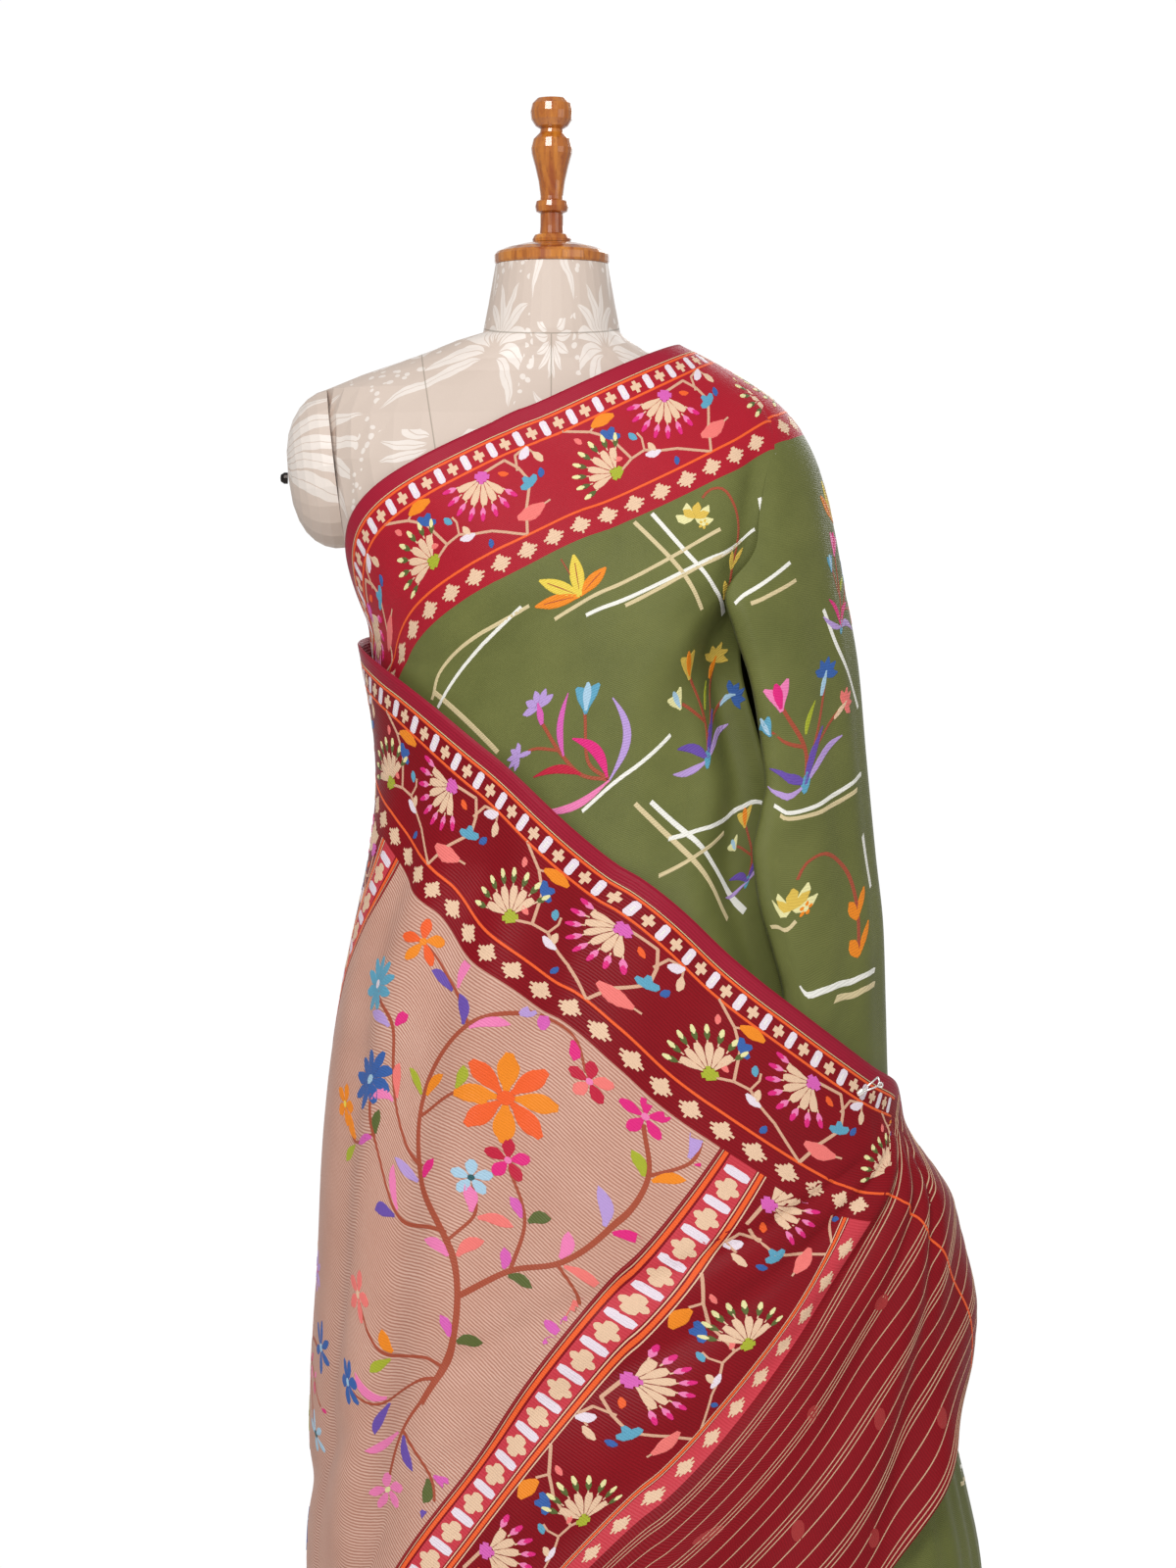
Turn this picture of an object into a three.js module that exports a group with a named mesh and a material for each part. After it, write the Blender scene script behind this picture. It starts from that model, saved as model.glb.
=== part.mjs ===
// A silk saree wound on a dress form. Millimetres, +Z up, front towards -Y.
// The origin lies on the floor under the pole. +X is the form's left side, which carries the shoulder fall.

import * as THREE from "three";

// Driving dimensions of the cloth
const CLOTH_WALL = 1.5;
const SEAM_GAP = 0.3;
const FORM_CLEARANCE = 2.8;
const CHEST_SAG_ALLOWANCE = 0.9;
const PALLU_LIFT = 11;
const SKIRT_INSET = 8;
const HEM_HEIGHT = 12;
const PLEAT_COUNT = 7;
const PLEAT_DEPTH_AT_HEM = 13;
const PLEAT_DEPTH_AT_WAIST = 3;
const PLEAT_SPREAD = 38;
const SKIRT_TOP = 1040;
const FOLD_ROLL = 6;
const FLARE_REACH = 32;
const TROUGH_DEPTH = 8;

// Where one stretch ends and the next begins, as angles from the front towards the left side
const CHEST_START = -150;
const SHOULDER_SEAM = 100;
const BACK_SEAM = 210;
const SEAM_ANGLE = 0.12;
const FOLD_SEAM_ANGLE = 0.1;
const SHOULDER_SEAM_ANGLE = 0.24;
const BACK_TOP_TURN = 150;

// How far down the rings of the drape the chest and the fall reach, and where the fold opens
const CHEST_LOWEST_RING = 10.6;
const FALL_FOLD_RINGS = 12;
const FOLD_OPENS_RING = 2;
const BACK_TOP_HEIGHT = 1262;

// Driving dimensions of the dress form and its stand
const NECK_TOP = 1574;
const TORSO_BOTTOM = 800;
const ARM_PLANE_X = 187;
const ARM_CENTRE_Z = 1396;
const ARM_PLANE_LEAN = 0.12;
const RIGHT_ARM = { side: -1, bulge: 42, halfHeight: 69, halfDepth: 56 };
const LEFT_ARM = { side: 1, bulge: 26, halfHeight: 45, halfDepth: 46 };
const NECK_DISC_RADIUS = 50;
const POLE_RADIUS = 15;
const BASE_RADIUS = 150;
const BASE_HEIGHT = 34;
const KNOB_RADIUS = 5;
const PIN_LENGTH = 30;
const PIN_WIDTH = 9;
const PIN_WIRE_RADIUS = 0.7;
const PIN_SAG_ALLOWANCE = 1;

// Rings of the form: height, half widths to the right and left, depth to the front and back, squareness
const FORM_RINGS = [
  { z: 1574, right: 49, left: 49, front: 48, back: 50, square: 2.0 },
  { z: 1540, right: 55, left: 55, front: 53, back: 55, square: 2.0 },
  { z: 1514, right: 60, left: 60, front: 57, back: 60, square: 2.0 },
  { z: 1507, right: 84, left: 68, front: 57, back: 61, square: 2.0 },
  { z: 1498, right: 106, left: 82, front: 57, back: 62, square: 2.0 },
  { z: 1488, right: 134, left: 102, front: 58, back: 66, square: 2.1 },
  { z: 1477, right: 166, left: 126, front: 62, back: 74, square: 2.2 },
  { z: 1464, right: 197, left: 150, front: 70, back: 84, square: 2.4 },
  { z: 1440, right: 203, left: 178, front: 86, back: 96, square: 2.6 },
  { z: 1400, right: 201, left: 190, front: 108, back: 104, square: 2.7 },
  { z: 1360, right: 193, left: 186, front: 122, back: 107, square: 2.6 },
  { z: 1325, right: 182, left: 178, front: 128, back: 107, square: 2.5 },
  { z: 1292, right: 169, left: 165, front: 129, back: 105, square: 2.4 },
  { z: 1250, right: 152, left: 153, front: 125, back: 101, square: 2.3 },
  { z: 1200, right: 138, left: 142, front: 116, back: 96, square: 2.2 },
  { z: 1147, right: 129, left: 131, front: 108, back: 92, square: 2.2 },
  { z: 1100, right: 124, left: 125, front: 103, back: 90, square: 2.2 },
  { z: 1050, right: 131, left: 133, front: 108, back: 97, square: 2.2 },
  { z: 1000, right: 146, left: 150, front: 118, back: 108, square: 2.3 },
  { z: 950, right: 158, left: 164, front: 125, back: 117, square: 2.3 },
  { z: 900, right: 164, left: 170, front: 128, back: 122, square: 2.3 },
  { z: 850, right: 162, left: 168, front: 127, back: 121, square: 2.3 },
  { z: 800, right: 152, left: 158, front: 121, back: 115, square: 2.2 },
];

// Rings of the drape. The upper ones tilt: each runs from the right side up across the chest,
// over the left shoulder and down the back. The columns give where a ring passes the left and
// the right side, how deep it is in front and behind, and how steeply it climbs in front.
const DRAPE_RINGS = [
  { leftX: 112, leftZ: 1503, rightX: -159, rightZ: 1252, front: 96, back: 108, climb: 0.4, square: 2.3 },
  { leftX: 153, leftZ: 1481, rightX: -158, rightZ: 1242, front: 106, back: 112, climb: 0.45, square: 2.3 },
  { leftX: 203, leftZ: 1446, rightX: -156, rightZ: 1232, front: 116, back: 115, climb: 0.5, square: 2.3 },
  { leftX: 230, leftZ: 1403, rightX: -154, rightZ: 1221, front: 125, back: 117, climb: 0.55, square: 2.3 },
  { leftX: 246, leftZ: 1343, rightX: -151, rightZ: 1206, front: 132, back: 118, climb: 0.6, square: 2.3 },
  { leftX: 255, leftZ: 1292, rightX: -148, rightZ: 1190, front: 135, back: 118, climb: 0.7, square: 2.3 },
  { leftX: 267, leftZ: 1224, rightX: -144, rightZ: 1162, front: 134, back: 117, climb: 0.8, square: 2.3 },
  { leftX: 274, leftZ: 1145, rightX: -142, rightZ: 1120, front: 131, back: 117, climb: 0.9, square: 2.3 },
  { leftX: 282, leftZ: 1061, rightX: -148, rightZ: 1061, front: 130, back: 120, climb: 1, square: 2.3 },
  { leftX: 289, leftZ: 993, rightX: -162, rightZ: 993, front: 134, back: 126, climb: 1, square: 2.3 },
  { leftX: 291, leftZ: 924, rightX: -175, rightZ: 924, front: 141, back: 134, climb: 1, square: 2.3 },
  { leftX: 293, leftZ: 856, rightX: -184, rightZ: 856, front: 148, back: 142, climb: 1, square: 2.3 },
  { leftX: 302, leftZ: 790, rightX: -189, rightZ: 790, front: 154, back: 149, climb: 1, square: 2.3 },
  { leftX: 322, leftZ: 700, rightX: -192, rightZ: 700, front: 164, back: 159, climb: 1, square: 2.25 },
  { leftX: 347, leftZ: 600, rightX: -197, rightZ: 600, front: 175, back: 170, climb: 1, square: 2.2 },
  { leftX: 370, leftZ: 510, rightX: -198, rightZ: 510, front: 185, back: 181, climb: 1, square: 2.2 },
  { leftX: 384, leftZ: 437, rightX: -199, rightZ: 437, front: 194, back: 190, climb: 1, square: 2.2 },
  { leftX: 392, leftZ: 300, rightX: -201, rightZ: 300, front: 207, back: 205, climb: 1, square: 2.2 },
  { leftX: 398, leftZ: 150, rightX: -203, rightZ: 150, front: 219, back: 219, climb: 1, square: 2.2 },
  { leftX: 402, leftZ: 0, rightX: -205, rightZ: 0, front: 228, back: 230, climb: 1, square: 2.2 },
];
const LAST_RING = DRAPE_RINGS.length - 1;
const DRAPE_PLACES = DRAPE_RINGS.map((ring, place) => ({ ...ring, place }));

// At the waist the skirt hugs the form, and further down it lets go and fills the drape from inside
const SKIRT_FIT = [
  { z: 1040, hug: 1 },
  { z: 1000, hug: 0.97 },
  { z: 930, hug: 0.86 },
  { z: 850, hug: 0.6 },
  { z: 770, hug: 0.3 },
  { z: 680, hug: 0.08 },
  { z: 600, hug: 0 },
  { z: 0, hug: 0 },
];

// The deep fold between chest and arm: angle of the fold and how far the chest runs on beneath it
const DEEP_FOLD = [
  { ring: 0, angle: 82, tuck: 0 },
  { ring: 2, angle: 62, tuck: 1 },
  { ring: 4, angle: 40, tuck: 4 },
  { ring: 6, angle: 30, tuck: 8 },
  { ring: 8, angle: 31, tuck: 11 },
  { ring: 11, angle: 36, tuck: 12 },
  { ring: 19, angle: 36, tuck: 12 },
];

// The lower selvedge of the shoulder fall and the back stretch: angle round the form and height
const LOWER_SELVEDGE = [
  { angle: 30, z: 800 },
  { angle: 60, z: 720 },
  { angle: 95, z: 640 },
  { angle: 130, z: 520 },
  { angle: 170, z: 330 },
  { angle: 210, z: 130 },
];

// The pallu: its top edge, then the free end below the pin, as angle and height at both selvedges
const PALLU_EDGES = [
  { along: 0, topAngle: -150, topZ: 1262, hemAngle: -150, hemZ: 130, sweep: 1 },
  { along: 0.13, topAngle: -90, topZ: 1243, hemAngle: -134, hemZ: 70, sweep: 1 },
  { along: 0.22, topAngle: -60, topZ: 1214, hemAngle: -121, hemZ: 48, sweep: 1 },
  { along: 0.32, topAngle: -30, topZ: 1150, hemAngle: -108, hemZ: 38, sweep: 1 },
  { along: 0.43, topAngle: 0, topZ: 1047, hemAngle: -95, hemZ: 34, sweep: 1 },
  { along: 0.55, topAngle: 30, topZ: 943, hemAngle: -84, hemZ: 34, sweep: 0.97 },
  { along: 0.67, topAngle: 60, topZ: 880, hemAngle: -74, hemZ: 34, sweep: 0.95 },
  { along: 0.76, topAngle: 80, topZ: 857, hemAngle: -66, hemZ: 34, sweep: 0.9 },
  { along: 1, topAngle: 106, topZ: 672, hemAngle: -60, hemZ: 34, sweep: 0.85 },
];
const PIN_ALONG = 0.69;
const PIN_DOWN = 0.022;

const COLOURS = {
  ivoryDamask: { color: 0xd9d0c4, roughness: 0.6, metalness: 0 },
  turnedWood: { color: 0xb5651d, roughness: 0.3, metalness: 0 },
  steel: { color: 0xd8d8d8, roughness: 0.25, metalness: 1 },
  darkMetal: { color: 0x2c2a2a, roughness: 0.4, metalness: 0.9 },
  oliveSilk: { color: 0x5f7136, roughness: 0.5, metalness: 0 },
  crimsonSilk: { color: 0x971626, roughness: 0.5, metalness: 0 },
};

const root = new THREE.Group();

function addPiece(name, geometry, colour) {
  const mesh = new THREE.Mesh(geometry, new THREE.MeshStandardMaterial(COLOURS[colour]));
  mesh.name = name;
  root.add(mesh);
  return mesh;
}

function smoothStep(from, to, value) {
  const t = Math.min(1, Math.max(0, (value - from) / (to - from)));
  return t * t * (3 - 2 * t);
}

// Reads one column of a table at a place between its rows, along a smooth curve that never overshoots
function readColumn(table, placeKey, key, place) {
  const rising = table[table.length - 1][placeKey] > table[0][placeKey];
  const sign = rising ? 1 : -1;
  let row = 0;
  while (row < table.length - 2 && sign * place > sign * table[row + 1][placeKey]) row += 1;
  const slope = (index) => {
    const safe = Math.min(table.length - 2, Math.max(0, index));
    const run = table[safe + 1][placeKey] - table[safe][placeKey];
    return (table[safe + 1][key] - table[safe][key]) / run;
  };
  const knotSlope = (index) => {
    const before = slope(index - 1);
    const after = slope(index);
    return before * after <= 0 ? 0 : (2 * before * after) / (before + after);
  };
  const start = table[row][placeKey];
  const run = table[row + 1][placeKey] - start;
  const t = Math.min(1, Math.max(0, (place - start) / run));
  const a = table[row][key];
  const b = table[row + 1][key];
  const t2 = t * t;
  const t3 = t2 * t;
  const bend = (t3 - 2 * t2 + t) * run * knotSlope(row) + (t3 - t2) * run * knotSlope(row + 1);
  return (2 * t3 - 3 * t2 + 1) * a + (3 * t2 - 2 * t3) * b + bend;
}

function signedPower(value, power) {
  return Math.sign(value) * Math.abs(value) ** power;
}

// A point of the form's ring at a height, at an angle counted from the front towards the left side
function formPoint(angle, z, outward) {
  const read = (key) => readColumn(FORM_RINGS, "z", key, z);
  const power = 2 / read("square");
  const across = signedPower(Math.sin(angle), power);
  const depth = signedPower(Math.cos(angle), power);
  const halfWidth = (across > 0 ? read("left") : read("right")) + outward;
  const halfDepth = (depth > 0 ? read("front") : read("back")) + outward;
  return new THREE.Vector3(across * halfWidth, -depth * halfDepth, z);
}

// Moves a point of the drape out until it clears the form at its own height
function clearOfForm(point, clearance) {
  if (point.z > NECK_TOP || point.z < TORSO_BOTTOM) return point;
  const read = (key) => readColumn(FORM_RINGS, "z", key, point.z);
  const halfWidth = (point.x > 0 ? read("left") : read("right")) + clearance;
  const halfDepth = (point.y < 0 ? read("front") : read("back")) + clearance;
  const square = read("square");
  const acrossPart = Math.abs(point.x / halfWidth) ** square;
  const depthPart = Math.abs(point.y / halfDepth) ** square;
  const inside = (acrossPart + depthPart) ** (1 / square);
  if (inside < 1) {
    point.x /= inside;
    point.y /= inside;
  }
  return point;
}

// Soft vertical folds of the loose cloth, deeper towards the hem and behind
function looseFolds(angle, z) {
  const growth = smoothStep(1000, 200, z);
  const behind = 0.5 - 0.5 * Math.cos(angle);
  const wave = Math.sin(7 * angle + 0.8) + 0.6 * Math.sin(12 * angle + 2.1);
  return growth * (1.5 + 5 * behind) * wave;
}

// A point of the drape: angle counted from the front towards the left side, ring place, and lift outwards
function drapePoint(angle, ring, lift) {
  const read = (key) => {
    const low = Math.min(LAST_RING, Math.max(0, ring));
    return readColumn(DRAPE_PLACES, "place", key, low);
  };
  const power = 2 / read("square");
  const across = signedPower(Math.sin(angle), power);
  const depth = signedPower(Math.cos(angle), power);
  const leftX = read("leftX");
  const rightX = read("rightX");
  const leftZ = read("leftZ");
  const rightZ = read("rightZ");
  const middle = (leftX + rightX) / 2;
  const halfWidth = (leftX - rightX) / 2;
  const share = (1 + Math.sin(angle)) / 2;
  const climb = depth > 0 ? read("climb") : 0.9 + 0.1 * read("climb");
  const z = rightZ + (leftZ - rightZ) * share ** climb;
  const outward = lift + looseFolds(angle, z);
  const halfDepth = depth > 0 ? read("front") : read("back");
  const point = new THREE.Vector3(
    middle + across * (halfWidth + outward),
    -depth * (halfDepth + outward),
    z,
  );
  const room = waistRoom(z) + CHEST_SAG_ALLOWANCE + lift;
  return clearOfForm(point, FORM_CLEARANCE + Math.max(0, room));
}

// From the waist down the outer stretches leave room for the skirt beneath them
function waistRoom(z) {
  return (SKIRT_INSET + 1) * smoothStep(1110, 1045, z);
}

// The ring place at which the drape reaches a height, found by halving
function ringAtHeight(angle, z) {
  let low = 0;
  let high = LAST_RING;
  for (let step = 0; step < 30; step += 1) {
    const middle = (low + high) / 2;
    if (drapePoint(angle, middle, 0).z > z) low = middle;
    else high = middle;
  }
  return (low + high) / 2;
}

function radians(degrees) {
  return (degrees * Math.PI) / 180;
}

function buildGeometry(positions, indices) {
  const geometry = new THREE.BufferGeometry();
  geometry.setAttribute("position", new THREE.Float32BufferAttribute(positions, 3));
  geometry.setIndex(indices);
  geometry.computeVertexNormals();
  return geometry;
}

// A cloth wall through a grid of points. surface(u, v) gives a point, u along and v down the cloth,
// and its outer face lies on the side of the cross product of the two directions.
function clothWall(surface, columns, rows) {
  const step = 1e-3;
  const positions = [];
  const place = (column, row, side) => (side * (rows + 1) + row) * (columns + 1) + column;
  for (const side of [1, -1]) {
    for (let row = 0; row <= rows; row += 1) {
      for (let column = 0; column <= columns; column += 1) {
        const u = column / columns;
        const v = row / rows;
        const along = surface(Math.min(1, u + step), v).sub(surface(Math.max(0, u - step), v));
        const down = surface(u, Math.min(1, v + step)).sub(surface(u, Math.max(0, v - step)));
        const normal = down.cross(along).normalize();
        const point = surface(u, v).addScaledVector(normal, (side * CLOTH_WALL) / 2);
        positions.push(point.x, point.y, point.z);
      }
    }
  }
  const indices = [];
  const quad = (a, b, c, d) => indices.push(a, b, c, a, c, d);
  for (let row = 0; row < rows; row += 1) {
    for (let column = 0; column < columns; column += 1) {
      const corners = [[0, 0], [0, 1], [1, 1], [1, 0]];
      const outer = corners.map(([dc, dr]) => place(column + dc, row + dr, 0));
      const inner = corners.map(([dc, dr]) => place(column + dc, row + dr, 1));
      quad(...outer);
      quad(...inner.reverse());
    }
  }
  for (let column = 0; column < columns; column += 1) {
    quad(place(column, 0, 0), place(column + 1, 0, 0), place(column + 1, 0, 1), place(column, 0, 1));
    quad(place(column, rows, 1), place(column + 1, rows, 1), place(column + 1, rows, 0), place(column, rows, 0));
  }
  for (let row = 0; row < rows; row += 1) {
    quad(place(0, row, 1), place(0, row + 1, 1), place(0, row + 1, 0), place(0, row, 0));
    quad(place(columns, row, 0), place(columns, row + 1, 0), place(columns, row + 1, 1), place(columns, row, 1));
  }
  return buildGeometry(positions, indices);
}

// A closed body through rings of equal point counts, with a flat fan on both ends
function loft(rings) {
  const positions = [];
  const indices = [];
  const count = rings[0].length;
  for (const ring of rings) {
    for (const point of ring) positions.push(point.x, point.y, point.z);
  }
  for (let level = 0; level < rings.length - 1; level += 1) {
    for (let i = 0; i < count; i += 1) {
      const next = (i + 1) % count;
      const a = level * count + i;
      const b = level * count + next;
      indices.push(a, a + count, b, b, a + count, b + count);
    }
  }
  const fan = (level, flip) => {
    const centre = new THREE.Vector3();
    for (const point of rings[level]) centre.addScaledVector(point, 1 / count);
    const centreIndex = positions.length / 3;
    positions.push(centre.x, centre.y, centre.z);
    for (let i = 0; i < count; i += 1) {
      const a = level * count + i;
      const b = level * count + ((i + 1) % count);
      if (flip) indices.push(centreIndex, b, a);
      else indices.push(centreIndex, a, b);
    }
  };
  fan(0, false);
  fan(rings.length - 1, true);
  return buildGeometry(positions, indices);
}

function turned(profile, segments) {
  const points = profile.map(([radius, height]) => new THREE.Vector2(radius, height));
  return new THREE.LatheGeometry(points, segments).rotateX(Math.PI / 2);
}

// The torso with its neck. At the armholes it is cut flat by a leaning plane.
function buildTorso() {
  const sides = 40;
  const armLimit = (z) => ARM_PLANE_X + (z - ARM_CENTRE_Z) * ARM_PLANE_LEAN;
  const rings = FORM_RINGS.map(({ z }) => {
    const ring = [];
    for (let i = 0; i < sides; i += 1) {
      const point = formPoint((i / sides) * 2 * Math.PI, z, 0);
      const limit = armLimit(z);
      point.x = Math.max(-limit, Math.min(limit, point.x));
      ring.push(point);
    }
    return ring;
  });
  addPiece("form_torso", loft(rings), "ivoryDamask");
}

// A rounded arm stub whose flat face meets the armhole plane
function buildArmCap(name, arm) {
  const sides = 24;
  const levels = 8;
  const flatness = 0.75;
  const lastTurn = 0.49 * Math.PI;
  const rings = [];
  for (let level = 0; level < levels; level += 1) {
    const turn = (level / (levels - 1)) * lastTurn;
    const size = Math.cos(turn) ** flatness;
    const outward = arm.bulge * Math.sin(turn);
    const ring = [];
    for (let i = 0; i < sides; i += 1) {
      const angle = (-arm.side * i * 2 * Math.PI) / sides;
      const height = arm.halfHeight * size * Math.sin(angle);
      const lean = height * ARM_PLANE_LEAN;
      const x = arm.side * (ARM_PLANE_X + SEAM_GAP + lean + outward);
      const y = arm.halfDepth * size * Math.cos(angle) - 2;
      ring.push(new THREE.Vector3(x, y, ARM_CENTRE_Z + height - outward * 0.2));
    }
    rings.push(ring);
  }
  addPiece(name, loft(rings), "ivoryDamask");
  return rings[levels - 1];
}

function buildKnob(lastRing) {
  const tip = Math.min(...lastRing.map((point) => point.x));
  const middleZ = lastRing.reduce((sum, point) => sum + point.z, 0) / lastRing.length;
  const profile = [[0, 0], [KNOB_RADIUS, 0], [KNOB_RADIUS, 3], [KNOB_RADIUS * 0.6, 6], [0, 6.5]];
  const knob = turned(profile, 12).rotateY(-Math.PI / 2);
  knob.translate(tip - SEAM_GAP, -2, middleZ);
  addPiece("arm_knob", knob, "darkMetal");
}

function buildWood() {
  const discBottom = NECK_TOP + SEAM_GAP;
  const disc = [
    [0, 0], [NECK_DISC_RADIUS - 1, 0], [NECK_DISC_RADIUS, 2], [NECK_DISC_RADIUS, 8],
    [NECK_DISC_RADIUS - 2, 10.5], [40, 14], [26, 17.5], [17, 19], [0, 19],
  ];
  addPiece("neck_disc", turned(disc, 32).translate(0, 0, discBottom), "turnedWood");
  const finial = [
    [0, 0], [16.5, 0], [17, 2.5], [15, 6], [10.5, 7.7], [10, 14], [10, 25], [13.5, 26.5], [14.5, 31],
    [13.5, 35.5], [10, 37], [9.8, 40], [11.5, 53], [14.5, 66], [17.5, 77], [18, 82], [16, 90],
    [10.5, 95.5], [9.8, 98.5], [14, 101], [17.8, 107], [18.6, 114], [17, 121], [12.5, 125.5], [0, 127.4],
  ];
  const finialBottom = discBottom + 19 + SEAM_GAP;
  addPiece("finial", turned(finial, 20).translate(0, 0, finialBottom), "turnedWood");
  const poleLength = TORSO_BOTTOM - BASE_HEIGHT - 2 * SEAM_GAP;
  const pole = new THREE.CylinderGeometry(POLE_RADIUS, POLE_RADIUS, poleLength, 20).rotateX(Math.PI / 2);
  addPiece("pole", pole.translate(0, 0, BASE_HEIGHT + SEAM_GAP + poleLength / 2), "turnedWood");
  const base = [
    [0, 0], [BASE_RADIUS, 0], [BASE_RADIUS, 12], [BASE_RADIUS - 6, 20], [BASE_RADIUS * 0.6, 27],
    [34, 30], [26, BASE_HEIGHT], [0, BASE_HEIGHT],
  ];
  addPiece("stand_base", turned(base, 40), "turnedWood");
}

// The green cloth across the chest, from the right side of the back to the deep fold at the arm
function chestSurface(u, v) {
  const ring = v * CHEST_LOWEST_RING;
  const fold = readColumn(DEEP_FOLD, "ring", "angle", ring);
  const tuck = readColumn(DEEP_FOLD, "ring", "tuck", ring);
  const end = fold + tuck;
  const degrees = CHEST_START + (end - CHEST_START) * u;
  const sink = tuck > 0 ? smoothStep(fold - 14, fold, degrees) * FOLD_ROLL * Math.min(1, tuck / 4) : 0;
  return drapePoint(radians(degrees), ring, -sink);
}

function fallLift(degrees, ring) {
  const fold = readColumn(DEEP_FOLD, "ring", "angle", ring);
  const tuck = readColumn(DEEP_FOLD, "ring", "tuck", ring);
  const roll = Math.min(1, tuck / 4) * (1 - smoothStep(fold, fold + 34, degrees));
  const fade = 1 - smoothStep(9, 11, ring);
  return FOLD_ROLL * 0.8 * roll * (0.4 + 0.6 * fade);
}

// The green cloth over the shoulder and arm, from the deep fold to the shoulder seam line behind
function fallSurface(u, v) {
  const lowRing = (degrees) => {
    return ringAtHeight(radians(degrees), readColumn(LOWER_SELVEDGE, "angle", "z", degrees));
  };
  const guess = v * FALL_FOLD_RINGS;
  const foldAngle = readColumn(DEEP_FOLD, "ring", "angle", guess) + seamShift(guess);
  const degrees = foldAngle + (SHOULDER_SEAM - foldAngle) * u;
  const ring = v * lowRing(degrees);
  return drapePoint(radians(degrees), ring, fallLift(degrees, ring));
}

// At the shoulder the chest and the fall meet edge to edge, so the fall starts a little later there
function seamShift(ring) {
  const above = Math.max(0, FOLD_OPENS_RING - ring) / FOLD_OPENS_RING;
  return FOLD_SEAM_ANGLE + SHOULDER_SEAM_ANGLE * above;
}

// The cloth down the back, drawn towards the right side
function backSurface(u, v) {
  const from = SHOULDER_SEAM + SEAM_ANGLE;
  const degrees = from + (BACK_SEAM - from) * u;
  const angle = radians(degrees);
  const lowestTop = ringAtHeight(radians(BACK_SEAM), BACK_TOP_HEIGHT);
  const topRing = smoothStep(BACK_TOP_TURN, BACK_SEAM, degrees) * lowestTop;
  const lowHeight = readColumn(LOWER_SELVEDGE, "angle", "z", degrees);
  const lowRing = ringAtHeight(angle, lowHeight);
  const evenRing = topRing + (lowRing - topRing) * v;
  const firstHeight = drapePoint(angle, topRing, 0).z;
  const evenHeight = ringAtHeight(angle, firstHeight + (lowHeight - firstHeight) * v);
  const share = smoothStep(from, BACK_SEAM, degrees);
  const ring = evenRing + (evenHeight - evenRing) * share;
  const lift = PALLU_LIFT * share;
  return drapePoint(angle, ring, fallLift(degrees, ring) + lift);
}

// How far the free end of the pallu stands off below the pin
function palluFlare(degrees, z) {
  const sideways = smoothStep(34, 84, degrees);
  const down = smoothStep(835, 755, z) * smoothStep(560, 690, z);
  return FLARE_REACH * sideways * down;
}

// The trough that runs slanting down across the striped end
function palluTrough(degrees, z) {
  const line = 84 - (760 - z) * 0.16;
  const away = (degrees - line) / 7;
  const fade = smoothStep(800, 640, z) * smoothStep(400, 520, z);
  return -TROUGH_DEPTH * Math.exp(-away * away) * fade;
}

// The patterned end of the saree, brought round under the right arm and across the front to the pin
function palluSurface(u, v) {
  const read = (key) => readColumn(PALLU_EDGES, "along", key, u);
  const z = read("topZ") + (read("hemZ") - read("topZ")) * v;
  const turn = v ** read("sweep");
  const degrees = read("topAngle") + (read("hemAngle") - read("topAngle")) * turn;
  const start = SEAM_ANGLE * (1 - smoothStep(0, 0.02, u));
  const angle = radians(degrees + start);
  const lift = PALLU_LIFT + palluFlare(degrees, z) + palluTrough(degrees, z);
  return drapePoint(angle, ringAtHeight(angle, z), lift);
}

// A point of the skirt. At the waist it hugs the form and further down it fills the drape from inside.
function skirtPoint(degrees, z, dip) {
  const angle = radians(degrees);
  const hug = readColumn(SKIRT_FIT, "z", "hug", z);
  const loose = drapePoint(angle, ringAtHeight(angle, z), -SKIRT_INSET - dip);
  const snug = formPoint(angle, Math.max(TORSO_BOTTOM, z), FORM_CLEARANCE);
  loose.z = z;
  snug.z = z;
  return clearOfForm(loose.lerp(snug, hug), FORM_CLEARANCE);
}

// Rows of the skirt lie closer together where it rounds the hips
function skirtHeight(v) {
  return SKIRT_TOP + (HEM_HEIGHT - SKIRT_TOP) * v ** 1.6;
}

function pleatSurface(u, v) {
  const z = skirtHeight(v);
  const spread = PLEAT_SPREAD * (0.8 + 0.2 * v);
  const degrees = -spread + 2 * spread * u;
  const depth = PLEAT_DEPTH_AT_WAIST + (PLEAT_DEPTH_AT_HEM - PLEAT_DEPTH_AT_WAIST) * v;
  const wave = 0.5 - 0.5 * Math.cos(2 * Math.PI * PLEAT_COUNT * u);
  return skirtPoint(degrees, z, depth * wave * smoothStep(0, 0.15, v));
}

function skirtSurface(u, v) {
  const z = skirtHeight(v);
  const spread = PLEAT_SPREAD * (0.8 + 0.2 * v) + SEAM_ANGLE;
  const degrees = spread + (360 - 2 * spread) * u;
  return skirtPoint(degrees, z, 0);
}

// A point on the outside of the pallu, moved from the pin's place by millimetres along, across and out
function pinPoint(along, across, outward) {
  const step = 0.01;
  const middle = palluSurface(PIN_ALONG, PIN_DOWN);
  const unitU = palluSurface(PIN_ALONG + step, PIN_DOWN).distanceTo(middle) / step;
  const unitV = palluSurface(PIN_ALONG, PIN_DOWN + step).distanceTo(middle) / step;
  const u = PIN_ALONG + along / unitU;
  const v = PIN_DOWN + across / unitV;
  const point = palluSurface(u, v);
  const alongCloth = palluSurface(u + step, v).sub(point);
  const downCloth = palluSurface(u, v + step).sub(point);
  return point.addScaledVector(downCloth.cross(alongCloth).normalize(), outward);
}

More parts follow.
